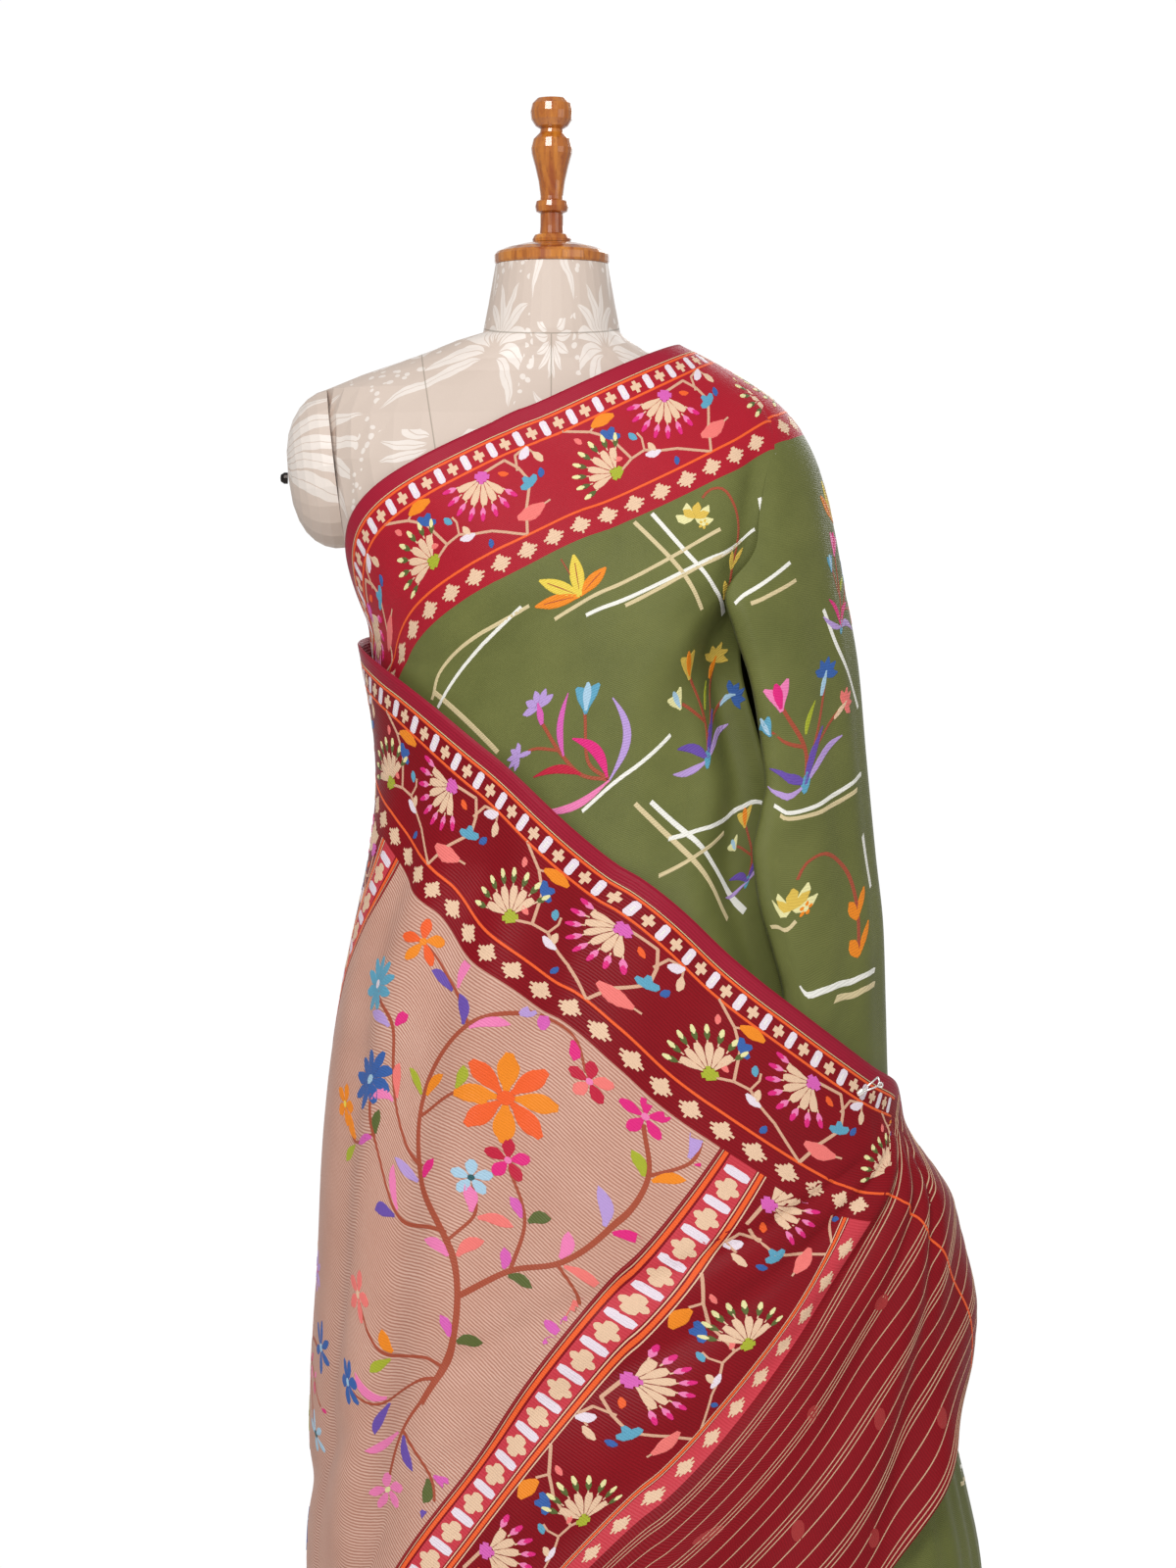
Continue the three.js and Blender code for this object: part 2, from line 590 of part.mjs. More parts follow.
// A safety pin: one bent wire with a coil at one end and a clasp at the other, lying on the cloth
function buildPin() {
  const stand = CLOTH_WALL / 2 + PIN_WIRE_RADIUS + SEAM_GAP + PIN_SAG_ALLOWANCE;
  const half = PIN_LENGTH / 2;
  const bend = PIN_WIDTH / 2;
  const route = [
    { along: bend, across: -half },
    { along: bend, across: 0 },
    { along: bend, across: half - 3 },
    { along: 0, across: half },
    { along: -bend, across: half - 3 },
    { along: -bend - 1, across: 0 },
    { along: -bend * 0.6, across: -half },
  ];
  const points = route.map((place) => pinPoint(place.along, place.across, stand));
  const section = new THREE.Shape();
  const sides = 8;
  for (let i = 0; i < sides; i += 1) {
    const angle = (i / sides) * 2 * Math.PI;
    const x = PIN_WIRE_RADIUS * Math.cos(angle);
    const y = PIN_WIRE_RADIUS * Math.sin(angle);
    if (i === 0) section.moveTo(x, y);
    else section.lineTo(x, y);
  }
  section.closePath();
  const curve = new THREE.CatmullRomCurve3(points);
  const wire = new THREE.ExtrudeGeometry(section, { steps: 22, extrudePath: curve, curveSegments: 1 });
  addPiece("hip_pin", wire, "steel");
}

buildTorso();
const rightTip = buildArmCap("form_arm_right", RIGHT_ARM);
buildArmCap("form_arm_left", LEFT_ARM);
buildKnob(rightTip);
buildWood();
addPiece("front_pleats", clothWall(pleatSurface, 42, 12), "oliveSilk");
addPiece("skirt_wrap", clothWall(skirtSurface, 34, 12), "oliveSilk");
addPiece("chest_stretch", clothWall(chestSurface, 22, 14), "oliveSilk");
addPiece("shoulder_fall", clothWall(fallSurface, 16, 18), "oliveSilk");
addPiece("back_stretch", clothWall(backSurface, 18, 18), "oliveSilk");
addPiece("pallu_front", clothWall(palluSurface, 32, 18), "crimsonSilk");
buildPin();

export default root;
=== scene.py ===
# %% Load the frame
import math

import bpy
import numpy as np
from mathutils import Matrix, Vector
from mathutils.bvhtree import BVHTree


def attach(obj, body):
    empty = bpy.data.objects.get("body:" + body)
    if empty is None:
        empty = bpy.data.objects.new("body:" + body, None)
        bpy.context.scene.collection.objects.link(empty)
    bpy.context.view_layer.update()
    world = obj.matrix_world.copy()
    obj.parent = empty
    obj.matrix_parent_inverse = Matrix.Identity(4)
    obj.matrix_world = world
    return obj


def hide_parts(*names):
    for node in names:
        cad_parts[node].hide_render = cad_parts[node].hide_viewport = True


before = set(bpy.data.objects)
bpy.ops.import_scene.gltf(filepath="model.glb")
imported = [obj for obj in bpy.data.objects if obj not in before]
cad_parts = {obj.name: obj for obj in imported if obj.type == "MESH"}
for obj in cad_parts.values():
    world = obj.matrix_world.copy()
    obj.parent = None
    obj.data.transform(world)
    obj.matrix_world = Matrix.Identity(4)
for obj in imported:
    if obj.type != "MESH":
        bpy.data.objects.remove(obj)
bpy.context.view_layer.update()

# %% [markdown]
# A saree is one length of woven silk, about 1.12 m wide and 6.2 m long. Nothing is sewn. It is wound
# round a dress form, over one shoulder, and its patterned end is brought to the front and pinned.
# The camera comes first, because the flowers are placed by where they are seen in the photograph.
# The view is level and long, with the whole form at about 4.5 m.

# %% The camera
PHOTO_WIDTH = 1200
PHOTO_HEIGHT = 1600
METRES_PER_PIXEL = 0.000855
CAMERA_DISTANCE = 4.5
SENSOR_MM = 36
CENTRE_PIXEL_OF_POLE = 563
FLOOR_PIXEL = 2111

camera_spot = Vector((
    (PHOTO_WIDTH / 2 - CENTRE_PIXEL_OF_POLE) * METRES_PER_PIXEL,
    -CAMERA_DISTANCE,
    (FLOOR_PIXEL - PHOTO_HEIGHT / 2) * METRES_PER_PIXEL,
))
bpy.ops.object.camera_add(location=camera_spot, rotation=(math.radians(90), 0, 0))
camera = bpy.context.object
camera.name = "portrait_camera"
camera.data.sensor_width = SENSOR_MM
camera.data.lens = SENSOR_MM * CAMERA_DISTANCE / (PHOTO_HEIGHT * METRES_PER_PIXEL)
bpy.context.scene.camera = camera
print("lens", round(camera.data.lens, 1), "mm")


def seen_at(pixel_x, pixel_y):
    """The direction from the camera through a pixel of the photograph."""
    x = (pixel_x - PHOTO_WIDTH / 2) * METRES_PER_PIXEL
    z = (PHOTO_HEIGHT / 2 - pixel_y) * METRES_PER_PIXEL
    return Vector((x, CAMERA_DISTANCE, z)).normalized()


# %% [markdown]
# The cloth hangs on tilted rings. The upper ones run from the right side up across the chest, over the
# left shoulder and down the back; the lower ones lie level. The same few sizes, in millimetres, shape
# every stretch, and each stretch only lies a little further in or out, so that no two can cross.

# %% The rings of the drape and of the dress form
RING_COLUMNS = "left_x left_z right_x right_z front back climb square"
RINGS = [
    (112, 1503, -159, 1252, 96, 108, 0.4, 2.3),
    (153, 1481, -158, 1242, 106, 112, 0.45, 2.3),
    (203, 1446, -156, 1232, 116, 115, 0.5, 2.3),
    (230, 1403, -154, 1221, 125, 117, 0.55, 2.3),
    (246, 1343, -151, 1206, 132, 118, 0.6, 2.3),
    (255, 1292, -148, 1190, 135, 118, 0.7, 2.3),
    (267, 1224, -144, 1162, 134, 117, 0.8, 2.3),
    (274, 1145, -142, 1120, 131, 117, 0.9, 2.3),
    (282, 1061, -148, 1061, 130, 120, 1, 2.3),
    (289, 993, -162, 993, 134, 126, 1, 2.3),
    (291, 924, -175, 924, 141, 134, 1, 2.3),
    (293, 856, -184, 856, 148, 142, 1, 2.3),
    (302, 790, -189, 790, 154, 149, 1, 2.3),
    (322, 700, -192, 700, 164, 159, 1, 2.25),
    (347, 600, -197, 600, 175, 170, 1, 2.2),
    (370, 510, -198, 510, 185, 181, 1, 2.2),
    (384, 437, -199, 437, 194, 190, 1, 2.2),
    (392, 300, -201, 300, 207, 205, 1, 2.2),
    (398, 150, -203, 150, 219, 219, 1, 2.2),
    (402, 0, -205, 0, 228, 230, 1, 2.2),
]
FORM_COLUMNS = "z right left front back square"
FORM_RINGS = [
    (1574, 49, 49, 48, 50, 2.0),
    (1540, 55, 55, 53, 55, 2.0),
    (1514, 60, 60, 57, 60, 2.0),
    (1507, 84, 68, 57, 61, 2.0),
    (1498, 106, 82, 57, 62, 2.0),
    (1488, 134, 102, 58, 66, 2.1),
    (1477, 166, 126, 62, 74, 2.2),
    (1464, 197, 150, 70, 84, 2.4),
    (1440, 203, 178, 86, 96, 2.6),
    (1400, 201, 190, 108, 104, 2.7),
    (1360, 193, 186, 122, 107, 2.6),
    (1325, 182, 178, 128, 107, 2.5),
    (1292, 169, 165, 129, 105, 2.4),
    (1250, 152, 153, 125, 101, 2.3),
    (1200, 138, 142, 116, 96, 2.2),
    (1147, 129, 131, 108, 92, 2.2),
    (1100, 124, 125, 103, 90, 2.2),
    (1050, 131, 133, 108, 97, 2.2),
    (1000, 146, 150, 118, 108, 2.3),
    (950, 158, 164, 125, 117, 2.3),
    (900, 164, 170, 128, 122, 2.3),
    (850, 162, 168, 127, 121, 2.3),
    (800, 152, 158, 121, 115, 2.2),
]
FOLD_WAVE = [
    (0, 0), (3.4, -1), (4.3, -4.5), (4.8, -8), (5.4, -4), (6, -0.5), (6.6, 1), (7.2, 1.7), (7.65, -1),
    (8.1, -4), (8.5, -4), (8.9, -3.3), (9.3, -1), (9.7, 1), (12, 0), (19, 0),
]
LOWER_SELVEDGE = [(30, 800), (60, 720), (95, 640), (130, 520), (170, 330), (210, 130)]
PALLU_COLUMNS = "along top_angle top_z hem_angle hem_z sweep"
PALLU_EDGES = [
    (0, -150, 1262, -150, 130, 1),
    (0.13, -90, 1243, -134, 70, 1),
    (0.22, -60, 1214, -121, 48, 1),
    (0.32, -30, 1150, -108, 38, 1),
    (0.43, 0, 1047, -95, 34, 1),
    (0.55, 30, 943, -84, 34, 0.97),
    (0.67, 60, 880, -74, 34, 0.95),
    (0.76, 80, 857, -66, 34, 0.9),
    (1, 106, 672, -60, 34, 0.85),
]


def smooth_column(places, values):
    """A curve through a table's column that never overshoots, read at any place."""
    order = np.argsort(places)
    x = np.asarray(places, float)[order]
    y = np.asarray(values, float)[order]
    slope = np.diff(y) / np.diff(x)
    before = np.concatenate([slope[:1], slope])
    after = np.concatenate([slope, slope[-1:]])
    with np.errstate(divide="ignore", invalid="ignore"):
        knot = np.where(before * after <= 0, 0.0, 2 * before * after / (before + after))

    def read(place):
        place = np.clip(np.asarray(place, float), x[0], x[-1])
        row = np.clip(np.searchsorted(x, place, side="left") - 1, 0, len(x) - 2)
        run = x[row + 1] - x[row]
        t = (place - x[row]) / run
        bend = (t**3 - 2 * t**2 + t) * run * knot[row] + (t**3 - t**2) * run * knot[row + 1]
        return (2 * t**3 - 3 * t**2 + 1) * y[row] + (3 * t**2 - 2 * t**3) * y[row + 1] + bend

    return read


def table_columns(names, rows, by_row=False):
    """Named curves for a table, over its first column or over the row number."""
    data = np.array(rows, float)
    places = np.arange(len(rows)) if by_row else data[:, 0]
    return {name: smooth_column(places, data[:, i]) for i, name in enumerate(names.split())}


ring_at = table_columns(RING_COLUMNS, RINGS, by_row=True)
form_at = table_columns(FORM_COLUMNS, FORM_RINGS)
skirt_at = table_columns("z hug", [
    (1040, 1), (1000, 0.97), (930, 0.86), (850, 0.6), (770, 0.3), (680, 0.08), (600, 0), (0, 0),
])
fold_at = table_columns("ring angle tuck", [
    (0, 82, 0), (2, 62, 1), (4, 40, 4), (6, 30, 8), (8, 31, 11), (11, 36, 12), (19, 36, 12),
])
wave_at = table_columns("ring turn", FOLD_WAVE)
selvedge_at = table_columns("angle z", LOWER_SELVEDGE)
pallu_at = table_columns(PALLU_COLUMNS, PALLU_EDGES)
LAST_RING = len(RINGS) - 1
print("rings:", len(RINGS), "of the drape,", len(FORM_RINGS), "of the form")

# %% [markdown]
# These short functions turn an angle round the body, a ring and a lift outwards into a point. Where the
# point would fall inside the form, it is moved out to lie on it.

# %% A point of the drape
FORM_CLEARANCE = 2.8
CHEST_SAG_ALLOWANCE = 0.9
SKIRT_INSET = 8
NECK_TOP = 1574
TORSO_BOTTOM = 800
WAIST_FROM, WAIST_TO = 1110, 1045
HALVINGS = 22


def ease(start, end, value):
    t = np.clip((np.asarray(value, float) - start) / (end - start), 0, 1)
    return t * t * (3 - 2 * t)


def within(value, start, full, fade, end):
    """Rises from start to full, and falls again from fade to end."""
    return ease(start, full, value) * ease(end, fade, value)


def rounded_square(angle, square):
    """How far across and how far forward a rounded square reaches at an angle, each from -1 to 1."""
    return [np.sign(part) * np.abs(part) ** (2 / square) for part in (np.sin(angle), np.cos(angle))]


def form_halves(z, on_left, in_front, outward):
    """Half the width and half the depth of the form, on the sides asked for."""
    half_width = np.where(on_left, form_at["left"](z), form_at["right"](z)) + outward
    return half_width, np.where(in_front, form_at["front"](z), form_at["back"](z)) + outward


def form_point(angle, z, outward):
    across, depth = rounded_square(angle, form_at["square"](z))
    half_width, half_depth = form_halves(z, across > 0, depth > 0, outward)
    return np.stack([across * half_width, -depth * half_depth, z + 0 * across], -1)


def clear_of_form(points, clearance):
    x, y, z = np.moveaxis(points, -1, 0)
    half_width, half_depth = form_halves(z, x > 0, y < 0, clearance)
    square = form_at["square"](z)
    inside = (np.abs(x / half_width) ** square + np.abs(y / half_depth) ** square) ** (1 / square)
    push = (inside < 1) & (z <= NECK_TOP) & (z >= TORSO_BOTTOM)
    scale = np.where(push, 1 / np.maximum(inside, 1e-6), 1.0)
    return np.stack([x * scale, y * scale, z], -1)


def loose_folds(angle, z):
    behind = 0.5 - 0.5 * np.cos(angle)
    return ease(1000, 200, z) * (1.5 + 5 * behind) * (np.sin(7 * angle + 0.8) + 0.6 * np.sin(12 * angle + 2.1))


def drape_height(angle, ring):
    low, high, front_climb = (ring_at[name](ring) for name in ("right_z", "left_z", "climb"))
    climb = np.where(np.cos(angle) > 0, front_climb, 0.9 + 0.1 * front_climb)
    return low + (high - low) * ((1 + np.sin(angle)) / 2) ** climb


def drape_point(angle, ring, lift):
    across, depth = rounded_square(angle, ring_at["square"](ring))
    left_x, right_x = ring_at["left_x"](ring), ring_at["right_x"](ring)
    z = drape_height(angle, ring)
    outward = lift + loose_folds(angle, z)
    half_depth = np.where(depth > 0, ring_at["front"](ring), ring_at["back"](ring))
    x = (left_x + right_x) / 2 + across * ((left_x - right_x) / 2 + outward)
    points = np.stack([x, -depth * (half_depth + outward), z], -1)
    waist_room = (SKIRT_INSET + 1) * ease(WAIST_FROM, WAIST_TO, z)
    return clear_of_form(points, FORM_CLEARANCE + np.maximum(0, waist_room + CHEST_SAG_ALLOWANCE + lift))


def ring_at_height(angle, z):
    low = np.zeros(np.broadcast(angle, z).shape)
    high = low + LAST_RING
    for _ in range(HALVINGS):
        middle = (low + high) / 2
        above = drape_height(angle, middle) > z
        low, high = np.where(above, middle, low), np.where(above, high, middle)
    return (low + high) / 2


print("a point on the left shoulder:", drape_point(np.array([math.pi / 2]), np.array([0.0]), 0)[0].round(1))

# %% [markdown]
# Each stretch of the saree is a surface over u, along the cloth, and v, down it. The forms are those of
# the frame's solids. The creases that silk takes are added as soft troughs and ridges of uneven length:
# they fan out from the shoulder and from the pin, where the cloth is gathered.

# %% The surfaces of the stretches
CHEST_RINGS = 10.6
FALL_RINGS = 12
CHEST_START = -150
PALLU_LIFT = 11
FOLD_ROLL = 6
FLARE_REACH = 32
SEAM_ANGLE = 0.12
BACK_TOP_HEIGHT = 1262.0
SHOULDER_SEAM = 100
BACK_SEAM = 210
SKIRT_TOP = 1040
HEM_HEIGHT = 12
SHOULDER_LAP = 3.0
SHOULDER_LAP_SINK = 0.8
ROLL_DEGREES = 5.0
ROLL_DEPTH = 13.0
RECESS_DEPTH = 26.0
VALLEY_DEPTH = 20.0
PLEAT_COUNT = 7
PLEAT_SPREAD = 38
PLEAT_DEPTH_AT_HEM = 13
PLEAT_DEPTH_AT_WAIST = 3
BACK_CREASES = (
    (118, 2.2, 5, 4, 2.5), (134, 3.0, 6, 5, 1.5), (152, 3.2, 5, 3.5, 3), (168, 3.0, 7, 4.5, 2), (186, 2.0, 5, 3, 4),
)
PIN_CREASES = ((-0.10, 0.018, 6.0), (-0.17, 0.02, 5.0), (-0.25, 0.022, 7.0), (-0.36, 0.03, 5.5), (-0.5, 0.035, 5.0))
UPRIGHT_CREASES = ((-62, 0.03, 7, 8, 420), (-38, 0.045, 8, 11, 300), (-12, 0.05, 8, 10, 350), (12, 0.06, 8, 6, 420))


def trough(place, centre, half_width):
    """1 in the middle of a crease, fading softly to both sides."""
    return np.exp(-(((place - centre) / half_width) ** 2))


def creases(across, down, rows):
    """Add up creases. Each row has a depth, a middle, a half width, and four places down where it comes and goes."""
    return -sum(deep * trough(across, centre, width) * within(down, *reach) for deep, centre, width, reach in rows)


def above_fold(ring):
    """1 on the shoulder, where the fold of the arm hasn't opened, and 0 below."""
    return ease(4.4, 3.5, ring)


def shoulder_valley(degrees, ring):
    """The soft start of the arm fold, before it opens."""
    return creases(degrees, ring, [(6, fold_at["angle"](ring) - 6, 5.5, (2.3, 3.4, 4.4, 5.2))])


def chest_creases(degrees, ring):
    below = ring - (5.8 - 0.044 * degrees)
    valley = within(below, 0, 0.9, 1.4, 3.6) * ease(0, 17, degrees)
    fan = creases(degrees, ring, [(2.2, 56 - ring * 4.2, 6, (0.6, 3, 4, 7))])
    shallow = trough(degrees, -4 - ring * 3, 9) * ease(3, 6, ring)
    bulge = trough(degrees, 14 - 2 * ring, 13) * trough(ring, 4.4, 1.3)
    return 1.5 * bulge - VALLEY_DEPTH * valley + fan - 1.5 * shallow


def chest_surface(u, v):
    ring = v * CHEST_RINGS
    fold, tuck, upper = fold_at["angle"](ring), fold_at["tuck"](ring), above_fold(ring)
    degrees = CHEST_START + (fold + tuck + SHOULDER_LAP * upper - CHEST_START) * u
    edge = fold + wave_at["turn"](ring)
    sink = ease(edge - 14, edge, degrees) * FOLD_ROLL * np.minimum(1, tuck / 4) * (1 - upper)
    recess = RECESS_DEPTH * ease(edge - 17, edge - 2, degrees) * within(ring, 4.5, 6.2, 10.2, 11.5)
    lap = SHOULDER_LAP_SINK * upper * ease(fold - 2, fold + SHOULDER_LAP, degrees)
    front = ease(-80, -40, degrees) * np.minimum(1.5, chest_creases(degrees, ring))
    return drape_point(np.radians(degrees), ring, front + shoulder_valley(degrees, ring) - sink - recess - lap)


def fall_lift(degrees, ring):
    fold, tuck = fold_at["angle"](ring), fold_at["tuck"](ring)
    roll = np.minimum(1, tuck / 4) * (1 - ease(fold, fold + 34, degrees))
    return FOLD_ROLL * 0.8 * roll * (1 - 0.6 * ease(9, 11, ring)) * ease(3.5, 4.4, ring)


def fall_creases(degrees, ring):
    return creases(degrees, ring, [
        (3.5, 56 + 1.2 * np.sin(ring), 8, (3.5, 6, 10, 14)), (2.5, 78 - ring * 0.4, 7, (2.5, 5, 9, 13)),
    ])


def fall_degrees(u, ring):
    upper = above_fold(ring)
    start = fold_at["angle"](ring) + 0.1 + wave_at["turn"](ring) * (1 - upper) - SHOULDER_LAP * upper
    return start + (SHOULDER_SEAM - start) * (0.35 * u + 0.65 * u * u)


def fall_surface(u, v):
    guess = v * FALL_RINGS
    start, degrees = fall_degrees(0, guess), fall_degrees(u, guess)
    angle = np.radians(degrees)
    ring = v * ring_at_height(angle, selvedge_at["z"](degrees))
    edge = ease(SHOULDER_SEAM, SHOULDER_SEAM - 8, degrees)
    from_fold = np.clip((degrees - start) / ROLL_DEGREES, 0, 1)
    roll = np.sqrt(np.clip(1 - (1 - from_fold) ** 2, 0, 1)) - 1
    lap = SHOULDER_LAP_SINK * above_fold(guess) * ease(start + SHOULDER_LAP + 2, start, degrees)
    rolled = ROLL_DEPTH * roll * ease(4, 5.4, ring) - lap + shoulder_valley(degrees, ring)
    return drape_point(angle, ring, fall_lift(degrees, ring) + rolled + edge * fall_creases(degrees, ring))


def back_creases(degrees, ring):
    return -sum(
        deep * trough(degrees, centre + lean * (ring - 4), width) * ease(start, start + 4, ring)
        for centre, lean, width, deep, start in BACK_CREASES
    )


def back_surface(u, v):
    first = SHOULDER_SEAM + SEAM_ANGLE
    degrees = first + (BACK_SEAM - first) * u
    angle = np.radians(degrees)
    top_ring = ease(150, BACK_SEAM, degrees) * ring_at_height(np.radians(BACK_SEAM), BACK_TOP_HEIGHT)
    low_z = selvedge_at["z"](degrees)
    even_ring = top_ring + (ring_at_height(angle, low_z) - top_ring) * v
    top_z = drape_height(angle, top_ring)
    even_height = ring_at_height(angle, top_z + (low_z - top_z) * v)
    share = ease(first, BACK_SEAM, degrees)
    ring = even_ring + (even_height - even_ring) * share
    inner = within(degrees, first, first + 8, BACK_SEAM - 8, BACK_SEAM)
    lift = fall_lift(degrees, ring) + PALLU_LIFT * share + inner * back_creases(degrees, ring)
    return drape_point(angle, ring, lift)


def pallu_degrees(u, v):
    """The angle of the end's cloth, whose lines sweep backwards on the way down."""
    top, hem = pallu_at["top_angle"](u), pallu_at["hem_angle"](u)
    return top + (hem - top) * v ** pallu_at["sweep"](u)


def pallu_flare(degrees, z):
    return FLARE_REACH * ease(34, 84, degrees) * within(z, 560, 690, 755, 835)


def pallu_trough(degrees, z):
    return creases(degrees, z, [(8, 84 - (760 - z) * 0.16, 7, (400, 520, 640, 800))])


def pallu_creases(degrees, z):
    """Slack creases that fan out from the pin, and a few upright ones over the beige field."""
    from_pin = (degrees - 80) / np.maximum(40, 857 - z)
    fan = [(deep, slope, width, (240, 420, 760, 850)) for slope, width, deep in PIN_CREASES]
    upright = [
        (deep, centre - lean * (900 - z), width, (low, low + 250, 980, 1180))
        for centre, lean, width, deep, low in UPRIGHT_CREASES
    ]
    return creases(from_pin, z, fan) + creases(degrees, z, upright)


def pallu_surface(u, v):
    z = pallu_at["top_z"](u) + (pallu_at["hem_z"](u) - pallu_at["top_z"](u)) * v
    degrees = pallu_degrees(u, v)
    angle = np.radians(degrees + SEAM_ANGLE * (1 - ease(0, 0.02, u)))
    inner = ease(CHEST_START, CHEST_START + 10, degrees)
    lift = PALLU_LIFT + pallu_flare(degrees, z) + pallu_trough(degrees, z) + inner * pallu_creases(degrees, z)
    return drape_point(angle, ring_at_height(angle, z), lift)


def skirt_point(degrees, z, dip):
    angle = np.radians(degrees)
    loose = drape_point(angle, ring_at_height(angle, z), -SKIRT_INSET - dip)
    snug = form_point(angle, np.maximum(TORSO_BOTTOM, z), FORM_CLEARANCE)
    loose[..., 2] = snug[..., 2] = z
    hug = skirt_at["hug"](z)[..., None]
    return clear_of_form(loose * (1 - hug) + snug * hug, FORM_CLEARANCE)


def skirt_height(v):
    return SKIRT_TOP + (HEM_HEIGHT - SKIRT_TOP) * v**1.6


def pleat_spread(v):
    return PLEAT_SPREAD * (0.8 + 0.2 * v)


def pleat_surface(u, v):
    depth = PLEAT_DEPTH_AT_WAIST + (PLEAT_DEPTH_AT_HEM - PLEAT_DEPTH_AT_WAIST) * v
    wave = 0.5 - 0.5 * np.cos(2 * math.pi * PLEAT_COUNT * u)
    return skirt_point(pleat_spread(v) * (2 * u - 1), skirt_height(v), depth * wave * ease(0, 0.15, v))


def skirt_surface(u, v):
    spread = pleat_spread(v) + SEAM_ANGLE
    degrees = spread + (360 - 2 * spread) * u
    z = skirt_height(v)
    soft = 3 * np.sin(np.radians(degrees) * 19 + 1) ** 2 * ease(900, 300, z) * within(u, 0, 0.04, 0.96, 1)
    return skirt_point(degrees, z, soft)


# %% [markdown]
# Cloth is laid on each surface from a grid. Its places are also measured in metres along and across the
# flat cloth, as a weaver counts them. They go into UV maps: Cloth from the upper selvedge and Hem from the
# lower one. All borders, lines and flowers are then set out in these flat measures.

# %% A stretch of cloth
CLOTH_THICKNESS = 0.0007
stretches = {}


def place_from_edge(points, anchor_column):
    """Distance along and away from the first row of a grid of points, by adding up short steps."""
    tangent = np.gradient(points, axis=1)
    tangent /= np.linalg.norm(tangent, axis=-1, keepdims=True)
    down = np.diff(points, axis=0)
    shear = np.sum(down * tangent[:-1], -1)
    across = np.linalg.norm(down - shear[..., None] * tangent[:-1], axis=-1)
    zero = np.zeros((1, points.shape[1]))
    away = np.concatenate([zero, np.cumsum(across, 0)])
    shift = np.concatenate([zero, np.cumsum(shear, 0)])[:, anchor_column]
    steps = np.linalg.norm(np.diff(points, axis=1), axis=-1)
    arc = np.concatenate([np.zeros((points.shape[0], 1)), np.cumsum(steps, 1)], 1)
    arc -= arc[:, anchor_column][:, None]
    return arc + shift[:, None], away


def unit_grid(rows, columns):
    return np.meshgrid(np.linspace(0, 1, columns), np.linspace(0, 1, rows))


def lay_cloth(name, surface, columns, rows, anchor):
    """Make a grid and move its points onto a surface. Returns the object and its flat places."""
    bpy.ops.mesh.primitive_grid_add(x_subdivisions=columns, y_subdivisions=rows, size=2)
    cloth = bpy.context.object
    cloth.name = name
    mesh = cloth.data
    flat = np.empty(len(mesh.vertices) * 3)
    mesh.vertices.foreach_get("co", flat)
    x, y, _ = flat.reshape(-1, 3).round(5).T
    xs, ys = np.unique(x), np.unique(y)
    index = (len(ys) - 1 - np.searchsorted(ys, y), np.searchsorted(xs, x))
    points = surface(*unit_grid(len(ys), len(xs))) / 1000
    mesh.vertices.foreach_set("co", points[index].reshape(-1))
    mesh.update()
    anchor_column = int(anchor * (len(xs) - 1))
    along, away = place_from_edge(points, anchor_column)
    hem_along, hem_away = place_from_edge(points[::-1], anchor_column)
    area = sum(face.area for face in mesh.polygons)
    stretches[name] = {
        "object": cloth, "points": points, "index": index, "area": area, "along": along, "away": away,
        "hem_along": hem_along[::-1], "hem_away": hem_away[::-1],
    }
    print(name, "has", len(mesh.polygons), "faces and", round(area, 2), "square metres")
    return stretches[name]


chest = lay_cloth("saree_chest", chest_surface, 150, 110, anchor=0.62)
fall = lay_cloth("saree_fall", fall_surface, 90, 170, anchor=0.5)
back = lay_cloth("saree_back", back_surface, 110, 170, anchor=0.0)
pallu = lay_cloth("saree_pallu", pallu_surface, 200, 190, anchor=0.5)
skirt = lay_cloth("saree_skirt", skirt_surface, 170, 90, anchor=0.0)
pleats = lay_cloth("saree_pleats", pleat_surface, 168, 80, anchor=0.0)

# %% [markdown]
# The patterned end hangs on the bias: lines that run across the cloth's width slant down to the right
# side. They are followed back up to the top edge, and the place along the cloth is read there. Near the pin the
# cloth is gathered, so that a long stretch of it meets the edge in a short space.

# %% Places along the cloth
END_STRIPES = 0.239
BODY_ONLY = 1.0
TUCKED_AWAY = 0.2
INNER_END = 3.0
SLANT_HALVINGS = 26
END_HEM_HEIGHT = 34
BAND_INNER = 0.38
BAND_BACK_OUTER = 0.715
BAND_BACK_INNER = 0.86
UV_MAPS = {"Cloth": ("along", "away"), "Hem": ("hem_along", "hem_away")}
top_place = table_columns("angle along slant bend", [
    (-260, 1.62, 0, 1), (-220, 1.44, 60, 1), (-180, 1.25, 120, 1), (-150, 1.10, 165, 1), (-90, 0.88, 188, 1),
    (-38, 0.715, 188, 1), (37, 0.38, 178, 1), (78, 0.239, 206, 0.9), (106, 0, 260, 0.85),
])


def along_by_slant(degrees, z, top_angles, top_heights):
    """Follow the slant up from each point to the top edge and read the place along the cloth."""
    low, high = np.full(degrees.shape, -262.0), np.full(degrees.shape, 108.0)
    for _ in range(SLANT_HALVINGS):
        middle = (low + high) / 2
        top_z = np.interp(middle, top_angles, top_heights)
        drop = np.maximum(0, top_z - z) / 1000
        fall_share = np.maximum(top_z - END_HEM_HEIGHT, 1) / 1000
        bend = top_place["bend"](middle)
        reached = middle - top_place["slant"](middle) * fall_share * (drop / fall_share) ** bend
        low, high = np.where(reached > degrees, low, middle), np.where(reached > degrees, middle, high)
    return top_place["along"]((low + high) / 2)


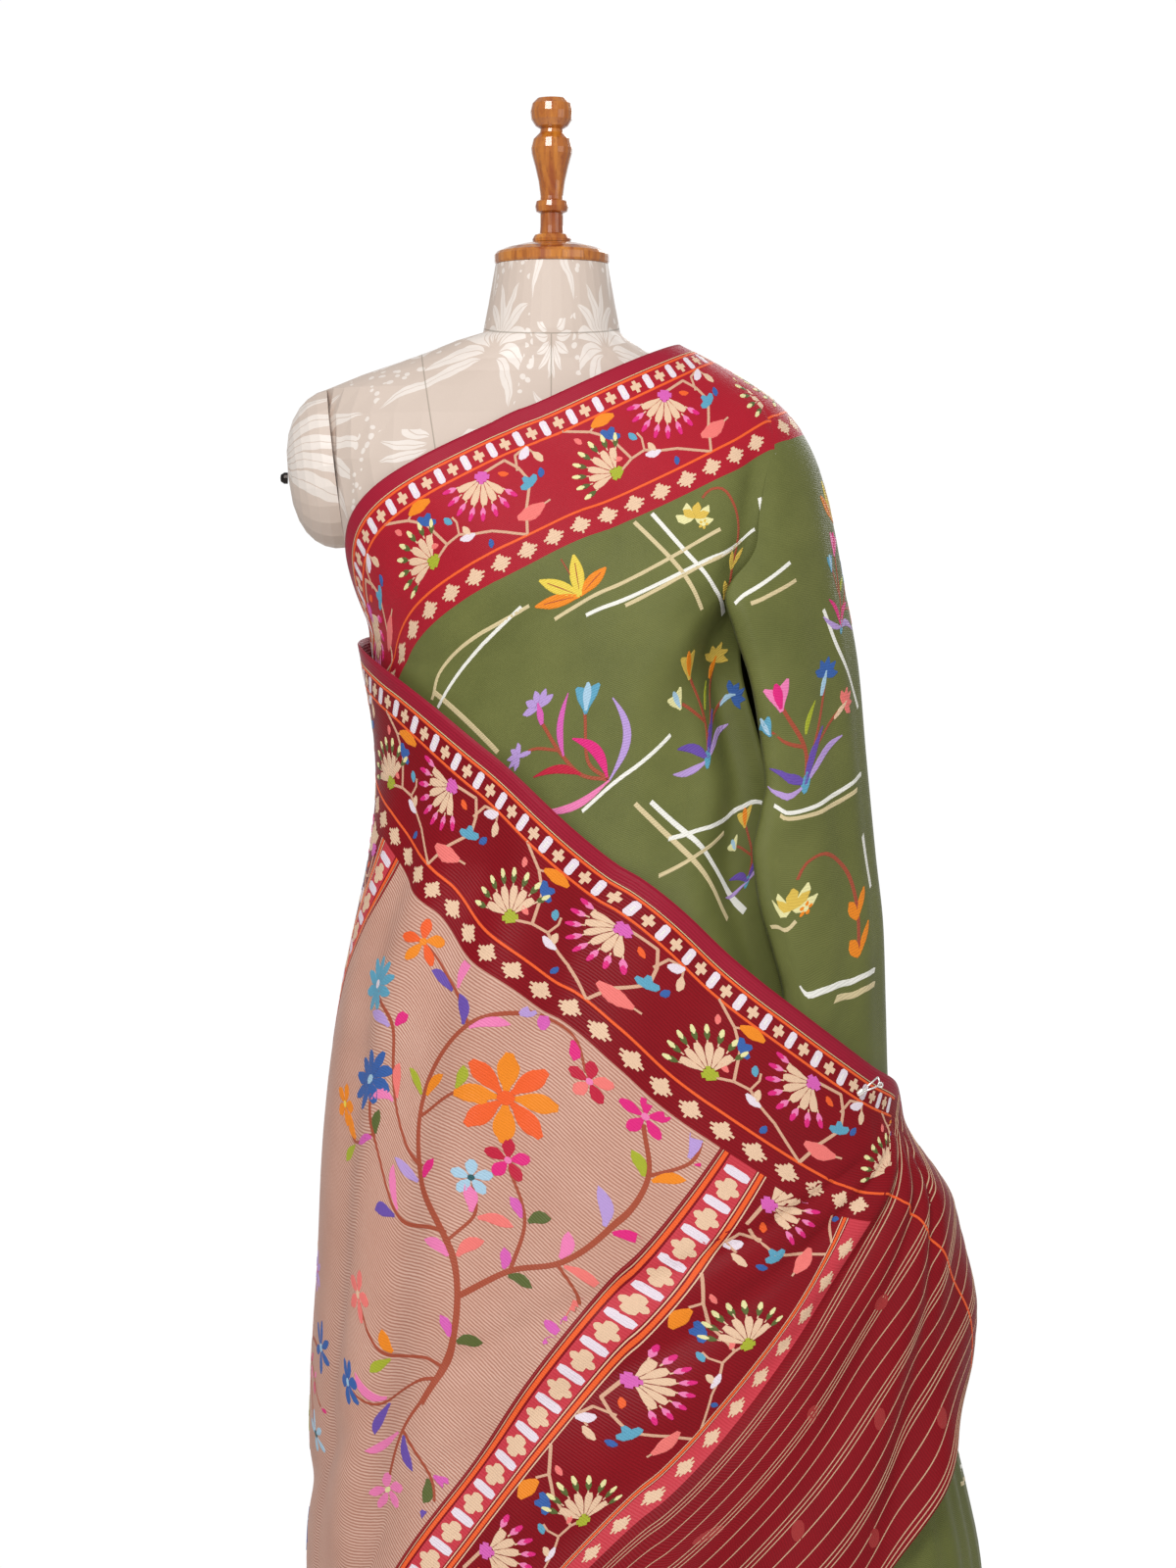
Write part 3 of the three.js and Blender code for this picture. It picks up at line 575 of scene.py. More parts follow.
pallu_angles = pallu_degrees(*unit_grid(*pallu["along"].shape))
back_angles = np.zeros(back["along"].shape) + np.linspace(SHOULDER_SEAM, BACK_SEAM, back["along"].shape[1]) - 360
top_angles = np.concatenate([back_angles[0], pallu_angles[0]])
top_heights = np.concatenate([back["points"][0, :, 2], pallu["points"][0, :, 2]]) * 1000
for entry, degrees in ((pallu, pallu_angles), (back, back_angles)):
    entry["along"] = along_by_slant(degrees, entry["points"][..., 2] * 1000, top_angles, top_heights)

fall["along"] = float(back["along"][0, 0]) + fall["along"][0, -1] - fall["along"]
chest["along"] = fall["along"][0, 0] + chest["along"][0, -1] - chest["along"]
for entry in (skirt, pleats):
    entry["along"] = INNER_END - entry["along"]
for entry in stretches.values():
    entry["hem_along"] = INNER_END - entry["hem_along"]
chest["hem_away"] = chest["hem_away"] + BODY_ONLY
u, v = unit_grid(*fall["along"].shape)
fall["hem_away"] = fall["hem_away"] + TUCKED_AWAY * ease(92, 62, fall_degrees(u, v * FALL_RINGS))


def write_uv(mesh, name, places):
    """Fill a new UV map from one flat place for each vertex."""
    layer = mesh.uv_layers.new(name=name)
    vertex_of = np.empty(len(mesh.loops), int)
    mesh.loops.foreach_get("vertex_index", vertex_of)
    layer.data.foreach_set("uv", places[vertex_of].reshape(-1).astype(np.float32))


for name, entry in stretches.items():
    mesh = entry["object"].data
    while mesh.uv_layers:
        mesh.uv_layers.remove(mesh.uv_layers[0])
    for uv_name, (across, down) in UV_MAPS.items():
        write_uv(mesh, uv_name, np.stack([entry[across], entry[down]], -1)[entry["index"]])
    print(name, "runs from", round(float(entry["along"].min()), 2), "to", round(float(entry["along"].max()), 2))

# %% [markdown]
# Now each grid gets its wall, and smooth shading. Solidify is the tool for thin even walls: half of the
# silk's thickness goes to each side of the surface.

# %% Give the cloth its thickness
REPLACED = {
    "saree_chest": "chest_stretch", "saree_fall": "shoulder_fall", "saree_back": "back_stretch",
    "saree_pallu": "pallu_front", "saree_skirt": "skirt_wrap", "saree_pleats": "front_pleats",
}


def row_normals(points):
    normal = np.cross(np.gradient(points, axis=0), np.gradient(points, axis=1))
    return normal / np.maximum(np.linalg.norm(normal, axis=-1, keepdims=True), 1e-12)


def triangles_of(rows, columns):
    index = np.arange(rows * columns).reshape(rows, columns)
    a, b, c, d = index[:-1, :-1], index[:-1, 1:], index[1:, 1:], index[1:, :-1]
    return np.concatenate([np.stack(corners, -1).reshape(-1, 3) for corners in ((a, b, c), (a, c, d))])


def select_only(*pieces):
    """Select these pieces alone and make the last one active."""
    bpy.ops.object.select_all(action="DESELECT")
    for piece in pieces:
        piece.select_set(True)
    bpy.context.view_layer.objects.active = pieces[-1]


for name, entry in stretches.items():
    entry["normals"] = row_normals(entry["points"])
    entry["triangles"] = triangles_of(*entry["along"].shape)
    corners = entry["triangles"].tolist()
    entry["solid_tree"] = BVHTree.FromPolygons(entry["points"].reshape(-1, 3).tolist(), corners)
    entry["flat_trees"] = {}
    for uv_name, (across, down) in UV_MAPS.items():
        flat = np.stack([entry[across], entry[down], np.zeros_like(entry[across])], -1).reshape(-1, 3)
        entry["flat_trees"][uv_name] = (flat, BVHTree.FromPolygons(flat.tolist(), corners))
    cloth = entry["object"]
    select_only(cloth)
    wall = cloth.modifiers.new("wall", "SOLIDIFY")
    wall.thickness = CLOTH_THICKNESS
    wall.offset = 0
    bpy.ops.object.modifier_apply(modifier="wall")
    bpy.ops.object.shade_smooth()
    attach(cloth, "root")
    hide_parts(REPLACED[name])
print("walls of", CLOTH_THICKNESS * 1000, "mm on", len(stretches), "stretches")

# %% [markdown]
# The brocade is woven with extra threads that lie a little proud of the ground. So each line, petal and
# leaf is a thin blade: a path in flat measures with a width at each step, raised in its middle. The
# blades are drawn flat, in millimetres, and then carried onto the hanging cloth through its flat places.

# %% Tools for drawing in thread
GROUND_FACE = 0.36
EDGE_LIFT = 0.15
STEM_LIFT = GROUND_FACE + 0.26
PETAL_LIFT = GROUND_FACE + 0.36
HEART_LIFT = GROUND_FACE + 0.5
LINE_STEP = 4.0
WIDE_BLADE = 7


class Brocade:
    """Collects blades and blocks in flat places, to be carried onto one stretch of cloth."""

    def __init__(self):
        self.points, self.faces, self.threads, self.whole, self.shape = [], [], [], [], []
        self.count = 0

    def add(self, points, faces, thread, whole=False):
        self.points.append(points)
        for face in faces:
            self.faces.append([self.count + k for k in face])
            self.threads.append(thread)
            self.whole.append(len(self.points) if whole else 0)
            self.shape.append(len(self.points))
        self.count += len(points)


def blade(art, path, widths, thread, lift=PETAL_LIFT):
    """A raised strip along a path of flat places in millimetres."""
    path = np.asarray(path, float)
    steps = len(path)
    widths = np.broadcast_to(np.asarray(widths, float), (steps,))
    tangent = np.gradient(path, axis=0)
    tangent /= np.maximum(np.linalg.norm(tangent, axis=1, keepdims=True), 1e-9)
    side = np.stack([-tangent[:, 1], tangent[:, 0]], 1)
    spans = (-0.5, -0.36, 0.36, 0.5) if widths.max() < WIDE_BLADE else (-0.5, -0.4, 0, 0.4, 0.5)
    n = len(spans)
    lifts = (EDGE_LIFT,) + (lift,) * (n - 2) + (EDGE_LIFT,)
    rows = [np.column_stack([path + side * (span * widths)[:, None], np.full(steps, z)])
            for span, z in zip(spans, lifts)]
    points = np.stack(rows, 1).reshape(-1, 3)
    corners = [i * n + k for i in range(steps - 1) for k in range(n - 1)]
    faces = [(a, a + 1, a + n + 1, a + n) for a in corners]
    faces += [tuple(range(n)), tuple(len(points) - 1 - k for k in range(n))]
    art.add(points, faces, thread)


def block(art, outline, thread, lift=PETAL_LIFT):
    """A raised patch with a stepped outline, as weft threads leave it."""
    outline = np.asarray(outline, float)
    if cross(outline, np.roll(outline, -1, axis=0)).sum() > 0:
        outline = outline[::-1]
    n = len(outline)
    middle = outline.mean(0)
    rings = (outline, outline, middle + (outline - middle) * 0.5, middle[None])
    points = [np.column_stack([ring, np.full(len(ring), z)]) for ring, z in zip(rings, (EDGE_LIFT, lift, lift, lift))]
    faces = [(r + k, r + (k + 1) % n, r + n + (k + 1) % n, r + n + k) for r in (0, n) for k in range(n)]
    faces += [(2 * n + k, 2 * n + (k + 1) % n, 3 * n) for k in range(n)]
    art.add(np.concatenate(points), faces, thread, whole=True)


def line_path(start, end):
    start, end = np.asarray(start, float), np.asarray(end, float)
    count = max(2, int(np.linalg.norm(end - start) / LINE_STEP) + 1)
    return start + (end - start) * np.linspace(0, 1, count)[:, None]


def soft_path(corners):
    """A smooth curve through a few corners."""
    corners = np.asarray(corners, float)
    if len(corners) == 2:
        return line_path(*corners)
    padded = np.concatenate([2 * corners[:1] - corners[1:2], corners, 2 * corners[-1:] - corners[-2:-1]])
    pieces = []
    for k in range(len(corners) - 1):
        a, b, c, d = padded[k:k + 4]
        count = max(2, int(np.linalg.norm(c - b) / LINE_STEP) + 1)
        t = np.linspace(0, 1, count, endpoint=k == len(corners) - 2)[:, None]
        bend = (2 * a - 5 * b + 4 * c - d) * t**2 + (3 * b - a - 3 * c + d) * t**3
        pieces.append(0.5 * (2 * b + (c - a) * t + bend))
    return np.concatenate(pieces)


class Spot:
    """A place and turn on the flat cloth: x runs to the viewer's right and y up towards the selvedge."""

    def __init__(self, along, away, turn=0.0, size=1.0, swap=False, flip=1.0):
        self.along, self.away, self.size = along, away, size
        self.cos, self.sin = math.cos(math.radians(turn)), math.sin(math.radians(turn))
        self.swap, self.flip = swap, flip

    def __call__(self, places):
        places = np.atleast_2d(np.asarray(places, float)) * self.size
        x = places[:, 0] * self.cos - places[:, 1] * self.sin
        y = places[:, 0] * self.sin + places[:, 1] * self.cos
        if self.swap:
            return np.stack([self.along - self.flip * y, self.away + x], 1)
        return np.stack([self.along - x, self.away - y], 1)


LONG_SHAPE = 90
SMEAR_LIMIT = 2.2
OFF_CLOTH = 2e-4
EVERYWHERE = (-1e6, 1e6)


def dot(one, two):
    return (one * two).sum(1)


def cross(one, two):
    return one[:, 0] * two[:, 1] - one[:, 1] * two[:, 0]


def smear(solid, tri, ab, ac, size):
    """How many times longer one way than the other a small round spot comes out on the cloth."""
    wide, deep = solid[tri[:, 1]] - solid[tri[:, 0]], solid[tri[:, 2]] - solid[tri[:, 0]]
    total = dot(wide, wide) * dot(ac, ac) - 2 * dot(wide, deep) * dot(ab, ac) + dot(deep, deep) * dot(ab, ab)
    total, area = total / size ** 2, (dot(wide, wide) * dot(deep, deep) - dot(wide, deep) ** 2) / size ** 2
    longest = (total + np.sqrt(np.maximum(total ** 2 - 4 * area, 0))) / 2
    return longest / np.sqrt(np.maximum(area, 1e-12))


def carry(art, entry, uv_name, name, threads, along_limits=EVERYWHERE, away_limits=EVERYWHERE):
    """Carry flat art in millimetres onto a stretch, within limits, and make it one object."""
    flat, tree = entry["flat_trees"][uv_name]
    places = np.concatenate(art.points)
    missing = np.zeros(len(places), bool)
    for place, (low, high) in zip(places.T, (along_limits, away_limits)):
        missing |= (place < low) | (place > high)
    spot = places[:, :2] / 1000
    hits = [tree.find_nearest((a, b, 0)) for a, b in spot]
    missing |= np.array([hit[3] for hit in hits]) > OFF_CLOTH
    tri = entry["triangles"][np.array([hit[2] for hit in hits])]
    a, b, c = (flat[tri[:, k], :2] for k in range(3))
    ab, ac, ap = b - a, c - a, np.array([hit[0] for hit in hits])[:, :2] - a
    size = cross(ab, ac)
    size = np.where(np.abs(size) < 1e-14, 1e-14, size)
    share_b, share_c = cross(ap, ac) / size, cross(ab, ap) / size
    shares = np.stack([1 - share_b - share_c, share_b, share_c], 1)[..., None]
    solid = entry["points"].reshape(-1, 3)
    out = (entry["normals"].reshape(-1, 3)[tri] * shares).sum(1)
    out /= np.maximum(np.linalg.norm(out, axis=1, keepdims=True), 1e-9)
    at = (solid[tri] * shares).sum(1) + out * (places[:, 2:3] / 1000)
    skewed = (smear(solid, tri, ab, ac, size) > SMEAR_LIMIT) & (entry["object"].name == "saree_back")
    first = np.cumsum([0] + [len(points) for points in art.points])
    smeared = {k + 1 for k, points in enumerate(art.points)
               if np.ptp(points[:, :2], axis=0).max() < LONG_SHAPE and skewed[first[k]:first[k + 1]].any()}
    lost = set(np.flatnonzero(missing).tolist())
    torn = {group for face, group in zip(art.faces, art.whole) if group and not lost.isdisjoint(face)}
    keep = [k for k, face in enumerate(art.faces)
            if art.whole[k] not in torn and art.shape[k] not in smeared and lost.isdisjoint(face)]
    used = np.unique(np.concatenate([art.faces[k] for k in keep]))
    renumber = {place: i for i, place in enumerate(used.tolist())}
    faces = [[renumber[p] for p in art.faces[k]] for k in keep]
    mesh = bpy.data.meshes.new(name)
    mesh.from_pydata(at[used].tolist(), [], faces)
    piece = bpy.data.objects.new(name, mesh)
    bpy.context.collection.objects.link(piece)
    names = sorted({art.threads[k] for k in keep})
    for thread in names:
        mesh.materials.append(threads[thread])
    mesh.polygons.foreach_set("material_index", [names.index(art.threads[k]) for k in keep])
    write_uv(mesh, "Cloth", spot[used])
    mesh.update()
    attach(piece, "root")
    count = sum(len(face) - 2 for face in faces)
    print(name, "has", count, "triangles and", len(names), "threads;", len(smeared), "skewed shapes left off")


# %% [markdown]
# Silk thread is smooth and shines softly. A shared group gives the fine ribs of the weave as a bump, and
# a slow uneven shade. Each thread colour then has its own material, so that its edge stays crisp.

# %% Thread and weave materials
def linear(code):
    """A colour written as six hex digits, turned into the scene's own linear values."""
    parts = [int(code[k:k + 2], 16) / 255 for k in (0, 2, 4)]
    return tuple(p / 12.92 if p <= 0.04045 else ((p + 0.055) / 1.055) ** 2.4 for p in parts) + (1.0,)


def fill(tree, inputs, values):
    """Link each named input to a socket, or set it to a value."""
    for key, value in values.items():
        if isinstance(value, bpy.types.NodeSocket):
            tree.links.new(value, inputs[key])
        else:
            inputs[key].default_value = value


def put(tree, kind, inputs=None, output=0, **settings):
    """Add one node, set its settings, link or fill its inputs, and give back one of its outputs."""
    node = tree.nodes.new(kind)
    for key, value in settings.items():
        setattr(node, key, value)
    fill(tree, node.inputs, inputs or {})
    return node.outputs if output == "all" else node.outputs[output]


def sums(tree, operation, *values):
    return put(tree, "ShaderNodeMath", dict(enumerate(values)), operation=operation)


def product(tree, first, *others):
    for other in others:
        first = sums(tree, "MULTIPLY", first, other)
    return first


def greatest(tree, first, *others):
    for other in others:
        first = sums(tree, "MAXIMUM", first, other)
    return first


def zone(tree, value, low, high):
    return product(tree, sums(tree, "GREATER_THAN", value, low), sums(tree, "LESS_THAN", value, high))


def noise(tree, place, scale, detail, **others):
    return put(tree, "ShaderNodeTexNoise", {"Vector": place, "Scale": scale, "Detail": detail, **others})


def spread(tree, value, low, high, start=0.0, end=1.0):
    """Map a value between start and end onto the range from low to high."""
    return put(tree, "ShaderNodeMapRange", {0: value, 1: start, 2: end, 3: low, 4: high})


def bump(tree, strength, distance, height):
    return put(tree, "ShaderNodeBump", {"Strength": strength, "Distance": distance, "Height": height})


def split(tree, place):
    return put(tree, "ShaderNodeSeparateXYZ", {0: place}, output="all")


def blend(tree, share, first, second, mode="MIX"):
    """Mix two colours. A colour is a socket or six hex digits."""
    first, second = (linear(part) if isinstance(part, str) else part for part in (first, second))
    return put(tree, "ShaderNodeMix", {0: share, 6: first, 7: second}, output=2, data_type="RGBA", blend_type=mode)


def new_material(name):
    """A material, its tree and the inputs of its shader."""
    material = bpy.data.materials.new(name)
    material.use_nodes = True
    return material, material.node_tree, material.node_tree.nodes["Principled BSDF"].inputs


RIB_PITCH = 0.0015
BEIGE_RIB_PITCH = 0.0026
THREAD_PITCH = 0.0022
weave = tree = bpy.data.node_groups.new("weave", "ShaderNodeTree")
for label, value in (("Pitch", RIB_PITCH), ("Strength", 0.3)):
    tree.interface.new_socket(label, in_out="INPUT", socket_type="NodeSocketFloat").default_value = value
for label, kind in (("Normal", "Vector"), ("Rib", "Float"), ("Shade", "Float")):
    tree.interface.new_socket(label, in_out="OUTPUT", socket_type="NodeSocket" + kind)
given = put(tree, "NodeGroupInput", output="all")
flat_place = put(tree, "ShaderNodeUVMap", uv_map="Cloth")
along_turns = sums(tree, "DIVIDE", split(tree, flat_place)[1], given["Pitch"])
wobble = product(tree, noise(tree, flat_place, 160.0, 2.0), 0.5)
turns = product(tree, sums(tree, "ADD", along_turns, wobble), 2 * math.pi)
rib = sums(tree, "MULTIPLY_ADD", sums(tree, "SINE", turns), 0.5, 0.5)
height = sums(tree, "ADD", rib, product(tree, noise(tree, flat_place, 900.0, 2.0), 0.5))
fill(tree, tree.nodes.new("NodeGroupOutput").inputs, {
    "Normal": bump(tree, given["Strength"], 0.0005, height), "Rib": rib,
    "Shade": noise(tree, flat_place, 14.0, 4.0, Roughness=0.6),
})


def use_weave(tree, pitch, strength):
    return put(tree, "ShaderNodeGroup", {"Pitch": pitch, "Strength": strength}, output="all", node_tree=weave)


def thread_material(name, code):
    material, tree, shader = new_material(name)
    parts = use_weave(tree, THREAD_PITCH, 0.55)
    fill(tree, shader, {
        "Base Color": linear(code), "Specular IOR Level": 0.2, "Sheen Weight": 0.05, "Sheen Roughness": 0.4,
        "Roughness": spread(tree, parts["Shade"], 0.45 - 0.08, 0.45 + 0.12), "Normal": parts["Normal"],
    })
    return material


THREAD_COLOURS = {
    "orange": "F0602A", "peach": "E8C4A4", "lilac_white": "EADCE6", "white": "F1EFE6", "beige": "D9C79A",
    "lime": "A8B030", "leaf_olive": "5C6633", "cream": "E9E3A6", "magenta": "E0287E", "pink": "EE7FB4",
    "violet_pink": "D860B4", "blue": "3A62A8", "teal": "5FA3BF", "salmon": "F07A74", "amber": "F08A20",
    "stem_brown": "A85038", "vine_beige": "D8A98C", "violet": "6B4FA8", "lilac": "B99AD6", "gold": "DDBB52",
    "yellow": "E9CE4E", "crimson": "C01F3C", "ice_blue": "A9CBE0", "dark_teal": "2C5A60", "pin_beige": "CDA98A",
    "tone_red": "A03030",
}
threads = {name: thread_material("thread_" + name, code) for name, code in THREAD_COLOURS.items()}
print(len(threads), "thread colours")

# %% [markdown]
# The ground is dyed in zones along and across the cloth: crimson borders at both selvedges, a crimson end
# with two bands and a beige field between, and olive for the rest. The zones are read from the flat
# places, so that they follow every fold.

# %% The ground of the saree
BORDER_WIDTH = 0.136
EDGE_WIDTH = 0.013
BAND_LIGHT_ROWS = ((0.0078, 0.0272), (0.1165, 0.1405))


def ground_material(name, olive, olive_dark, red, red_dark, red_light, red_edge, top_border=True, pitch=RIB_PITCH):
    material, tree, shader = new_material(name)
    along, away, _ = split(tree, put(tree, "ShaderNodeUVMap", uv_map="Cloth"))
    hem = split(tree, put(tree, "ShaderNodeUVMap", uv_map="Hem"))[1]
    edge_away = sums(tree, "MINIMUM", away, hem) if top_border else hem
    parts = use_weave(tree, pitch, 0.35)
    shade, rib = parts["Shade"], parts["Rib"]
    border = sums(tree, "LESS_THAN", edge_away, BORDER_WIDTH)
    inside_borders = sums(tree, "GREATER_THAN", edge_away, BORDER_WIDTH)
    end = sums(tree, "LESS_THAN", along, BAND_INNER)
    crimson_zone = greatest(tree, border, end, zone(tree, along, BAND_BACK_OUTER, BAND_BACK_INNER))
    beige_zone = product(tree, zone(tree, along, BAND_INNER, BAND_BACK_OUTER), inside_borders)
    # Slow noise mixes each ground colour with a darker copy. This is partly uneven dye and partly painted shade and
    # sheen: lighter and darker patches that stand in for how the silk catches the light. The beige field is mixed the
    # same way with its darker base.
    beige = blend(tree, sums(tree, "MULTIPLY_ADD", shade, 0.7, 0.3), "B27C68", blend(tree, rib, "B98270", "E8C2B0"))
    colour = blend(tree, shade, olive_dark, olive)
    colour = blend(tree, crimson_zone, colour, blend(tree, shade, red_dark, red))
    colour = blend(tree, beige_zone, colour, beige)
    rows = []
    for low, high in BAND_LIGHT_ROWS:
        rows += [zone(tree, along, BAND_INNER - high, BAND_INNER - low),
                 zone(tree, along, BAND_BACK_OUTER + low, BAND_BACK_OUTER + high)]
    colour = blend(tree, product(tree, greatest(tree, *rows), inside_borders), colour, red_light)
    colour = blend(tree, sums(tree, "LESS_THAN", edge_away, EDGE_WIDTH), colour, red_edge)
    colour = blend(tree, 0.16, colour, blend(tree, rib, "000000", "FFFFFF"), "SOFT_LIGHT")
    fill(tree, shader, {
        "Base Color": colour, "Roughness": spread(tree, shade, 0.4, 0.55), "Sheen Weight": 0.04,
        "Sheen Roughness": 0.35, "Specular IOR Level": 0.16, "Normal": parts["Normal"],
    })
    return material


# One silk in three copies. The body copy, on the chest, fall and back, has its olive and its red painted lighter than
# the others: painted light, standing in for the lit chest and for the ivory form showing through the thin silk there.
body_silk_painted_lighter = ground_material("olive_body_silk", "7A7D45", "585D30", "B81E30", "A01828", "D04450", "A21C34")
skirt_silk = ground_material("olive_skirt_silk", "70743C", "595E30", "98101E", "7E0A16", "C03440", "921628",
                             top_border=False)
pallu_silk = ground_material("crimson_end_silk", "70743C", "595E30", "900818", "740612", "C83C48", "981830",
                             pitch=BEIGE_RIB_PITCH)
SILK_OF = {"saree_pallu": (pallu_silk, "crimson_silk"), "saree_skirt": (skirt_silk, "olive_silk"),
           "saree_pleats": (skirt_silk, "olive_silk")}
for name, entry in stretches.items():
    silk, slot = SILK_OF.get(name, (body_silk_painted_lighter, "olive_silk"))
    entry["object"].data.materials.clear()
    entry["object"].data.materials.append(silk)
print("grounds:", body_silk_painted_lighter.name, skirt_silk.name, pallu_silk.name)

# %% [markdown]
# The border is set out like a running pattern on squared paper. Across its 136 mm it has a plain edge, two
# orange lines with crosses and pills between, a vine of lotuses and bells, another orange line, and a row
# of leaves. One repeat is 174 mm long. The bands at the end carry the same rows, turned a quarter.

# %% Small woven motifs
def mirrored(outline):
    """Close a half outline, given from the bottom up on the right, with its mirror image."""
    return list(outline) + [(-x, y) for x, y in reversed(outline) if x > 0.01]


CROSS = [(1.6, -6), (1.6, -2.4), (4.6, -2.4), (4.6, 2.4), (1.6, 2.4), (1.6, 6)]
PILL = [(1.8, -7.4), (3.2, -5.4), (3.2, 5.4), (1.8, 7.4)]
WIDE_PILL = [(5.5, -3.9), (8.6, -2.6), (8.6, 2.6), (5.5, 3.9)]
MAPLE = [
    (0.9, -8.5), (0.9, -5.6), (4.4, -5.6), (4.4, -3.9), (7.6, -3.9), (7.6, -2.1), (5.8, -2.1), (5.8, -0.5),
    (9.3, -0.5), (9.3, 1.6), (6.6, 1.6), (6.6, 3.4), (4.0, 3.4), (4.0, 5.6), (2.0, 5.6), (2.0, 8.0),
]
QUATREFOIL = [
    (1.2, -8.2), (3.4, -6.2), (3.4, -4.2), (7.6, -4.2), (9.4, -1.6), (9.4, 1.6), (7.6, 4.2), (3.4, 4.2),
    (3.4, 6.2), (1.2, 8.2),
]
HEART = [
    (1.4, -5), (3.4, -5), (3.4, -3), (5.6, -3), (5.6, 0.8), (3.8, 0.8), (3.8, 3), (1.6, 3), (1.6, 5),
]


def petal(art, spot, start, end, width, thread, lift=PETAL_LIFT, tip=0.15, belly=0.6, bow=0.0):
    """One petal or leaf: narrow at its foot, full at its belly and pointed at its tip."""
    start, end = np.asarray(start, float), np.asarray(end, float)
    length = np.linalg.norm(end - start)
    count = max(4, int(length / 4.5) + 2)
    t = np.linspace(0, 1, count)
    across = np.array([-(end - start)[1], (end - start)[0]])
    path = start + (end - start) * t[:, None] + across * (bow * np.sin(math.pi * t))[:, None]
    rise = np.sin(0.5 * math.pi * np.minimum(t / belly, 1)) ** 0.8
    fade = np.cos(0.5 * math.pi * np.maximum(t - belly, 0) / (1 - belly)) ** 0.75
    swell = np.where(t < belly, rise, fade)
    widths = width * spot.size * np.maximum(swell, np.where(t > belly, tip, 0.28))
    blade(art, spot(path), widths, thread, lift)


def stem(art, spot, corners, width, thread, smooth=True):
    path = soft_path(corners) if smooth else np.concatenate(
        [line_path(corners[k], corners[k + 1]) for k in range(len(corners) - 1)])
    blade(art, spot(path), width * spot.size, thread, STEM_LIFT)


def polar(reach, degrees, centre=(0, 0)):
    return (centre[0] + reach * math.sin(math.radians(degrees)), centre[1] + reach * math.cos(math.radians(degrees)))


def lotus(art, spot, kind):
    """A fan of petals, with a ring of stalked tips beyond it and a small heart at its foot."""
    foot_thread, tip_thread, heart_thread = {
        "green": ("leaf_olive", "cream", "lime"), "pink": ("pink", "magenta", "violet_pink"),
    }[kind]
    for degrees, reach in ((-58, 25), (-35, 26), (-12, 27), (12, 27), (35, 26), (58, 25)):
        petal(art, spot, polar(5.5, degrees), polar(reach, degrees), 7.7, "peach", tip=0.62, belly=0.78)
    for degrees in (-66, -47, -28, -9, 9, 28, 47, 66):
        reach = 35 + 4 * math.cos(math.radians(degrees)) ** 2
        blade(art, spot([polar(reach - 13, degrees), polar(reach - 6, degrees)]), 1.5 * spot.size, "peach", STEM_LIFT)
        petal(art, spot, polar(reach - 10, degrees), polar(reach - 2.5, degrees), 6.2, foot_thread,
              tip=0.75, belly=0.7)
        petal(art, spot, polar(reach - 4.5, degrees), polar(reach + 3.5, degrees), 5.4, tip_thread, HEART_LIFT,
              tip=0.4, belly=0.4)
    block(art, spot([(1.25 * x, 1.25 * y) for x, y in mirrored(HEART)]), heart_thread, HEART_LIFT)


def bell(art, spot, thread):
    """A small cup of three blunt leaves, where the vine forks."""
    for degrees in (-66, 0, 66):
        petal(art, spot, polar(-2, degrees), polar(9.5, degrees), 7.4, thread, tip=0.5, belly=0.65)


# %% One repeat of the lotus vine, and the rows beside it
VINE_REPEAT = 174.0
SMALL_PITCH = VINE_REPEAT / 14
LEAF_PITCH = VINE_REPEAT / 7
BAND_REPEAT = 185.0
BAND_PITCH = BAND_REPEAT / 6
BAND_SHIFT = -30.0
VINE_MIDDLE = 72
SMALL_ROW = 25.4
LEAF_ROW = 123.4
BAND_SMALL_ROW = 17.6
BAND_LEAF_ROW = 128.5


def vine_repeat(art, at):
    """The vine of one repeat. Here x runs from 0 to 174 and y is measured up from the vine's middle."""
    for width, corners in (
        (3.0, [(0, 30), (24, 33), (32, 21), (36, 6), (24, -16), (17, -38)]),
        (2.6, [(30, 19), (34, 33), (46, 37)]), (2.8, [(80, 38), (101, 27), (114, 15), (124, -11), (112, -17)]),
        (2.8, [(124, -11), (137, -9), (150, -16), (164, -21), (191, -38)]), (2.2, [(20, -26), (36, -19), (46, -17)]),
        (2.2, [(101, 27), (110, 32)]), (2.2, [(137, -9), (139, 2), (137, 8)]), (2.2, [(46, 37), (50, 28)]),
    ):
        stem(art, at(0, 0), corners, width, "vine_beige", smooth=False)
    lotus(art, at(107, -17, 45, 0.92), "green")
    lotus(art, at(0, 27, 150, 0.92), "pink")
    bell(art, at(36, 3, 24), "teal")
    bell(art, at(114, 15, -40), "blue")
    for x, y, turn, length, width, thread in (
        (40, -18, -96, 26, 15, "salmon"), (104, 30, 85, 22, 12, "amber"), (47, 37, -130, 14, 9, "lilac_white"),
        (49, 30, 160, 12, 8, "peach"), (150, -16, -80, 14, 8, "lilac_white"), (146, -14, -20, 10, 7, "peach"),
        (49, 14, 200, 9, 7, "blue"), (22, 20, -60, 9, 6, "orange"), (135, 3, -30, 9, 7, "teal"),
        (117, -7, -70, 8, 6, "salmon"), (86, 27, 150, 8, 6, "salmon"), (160, -27, 190, 8, 6, "blue"),
    ):
        petal(art, at(x, y), (0, 0), polar(length, turn), width, thread, tip=0.3, belly=0.5, bow=0.06)


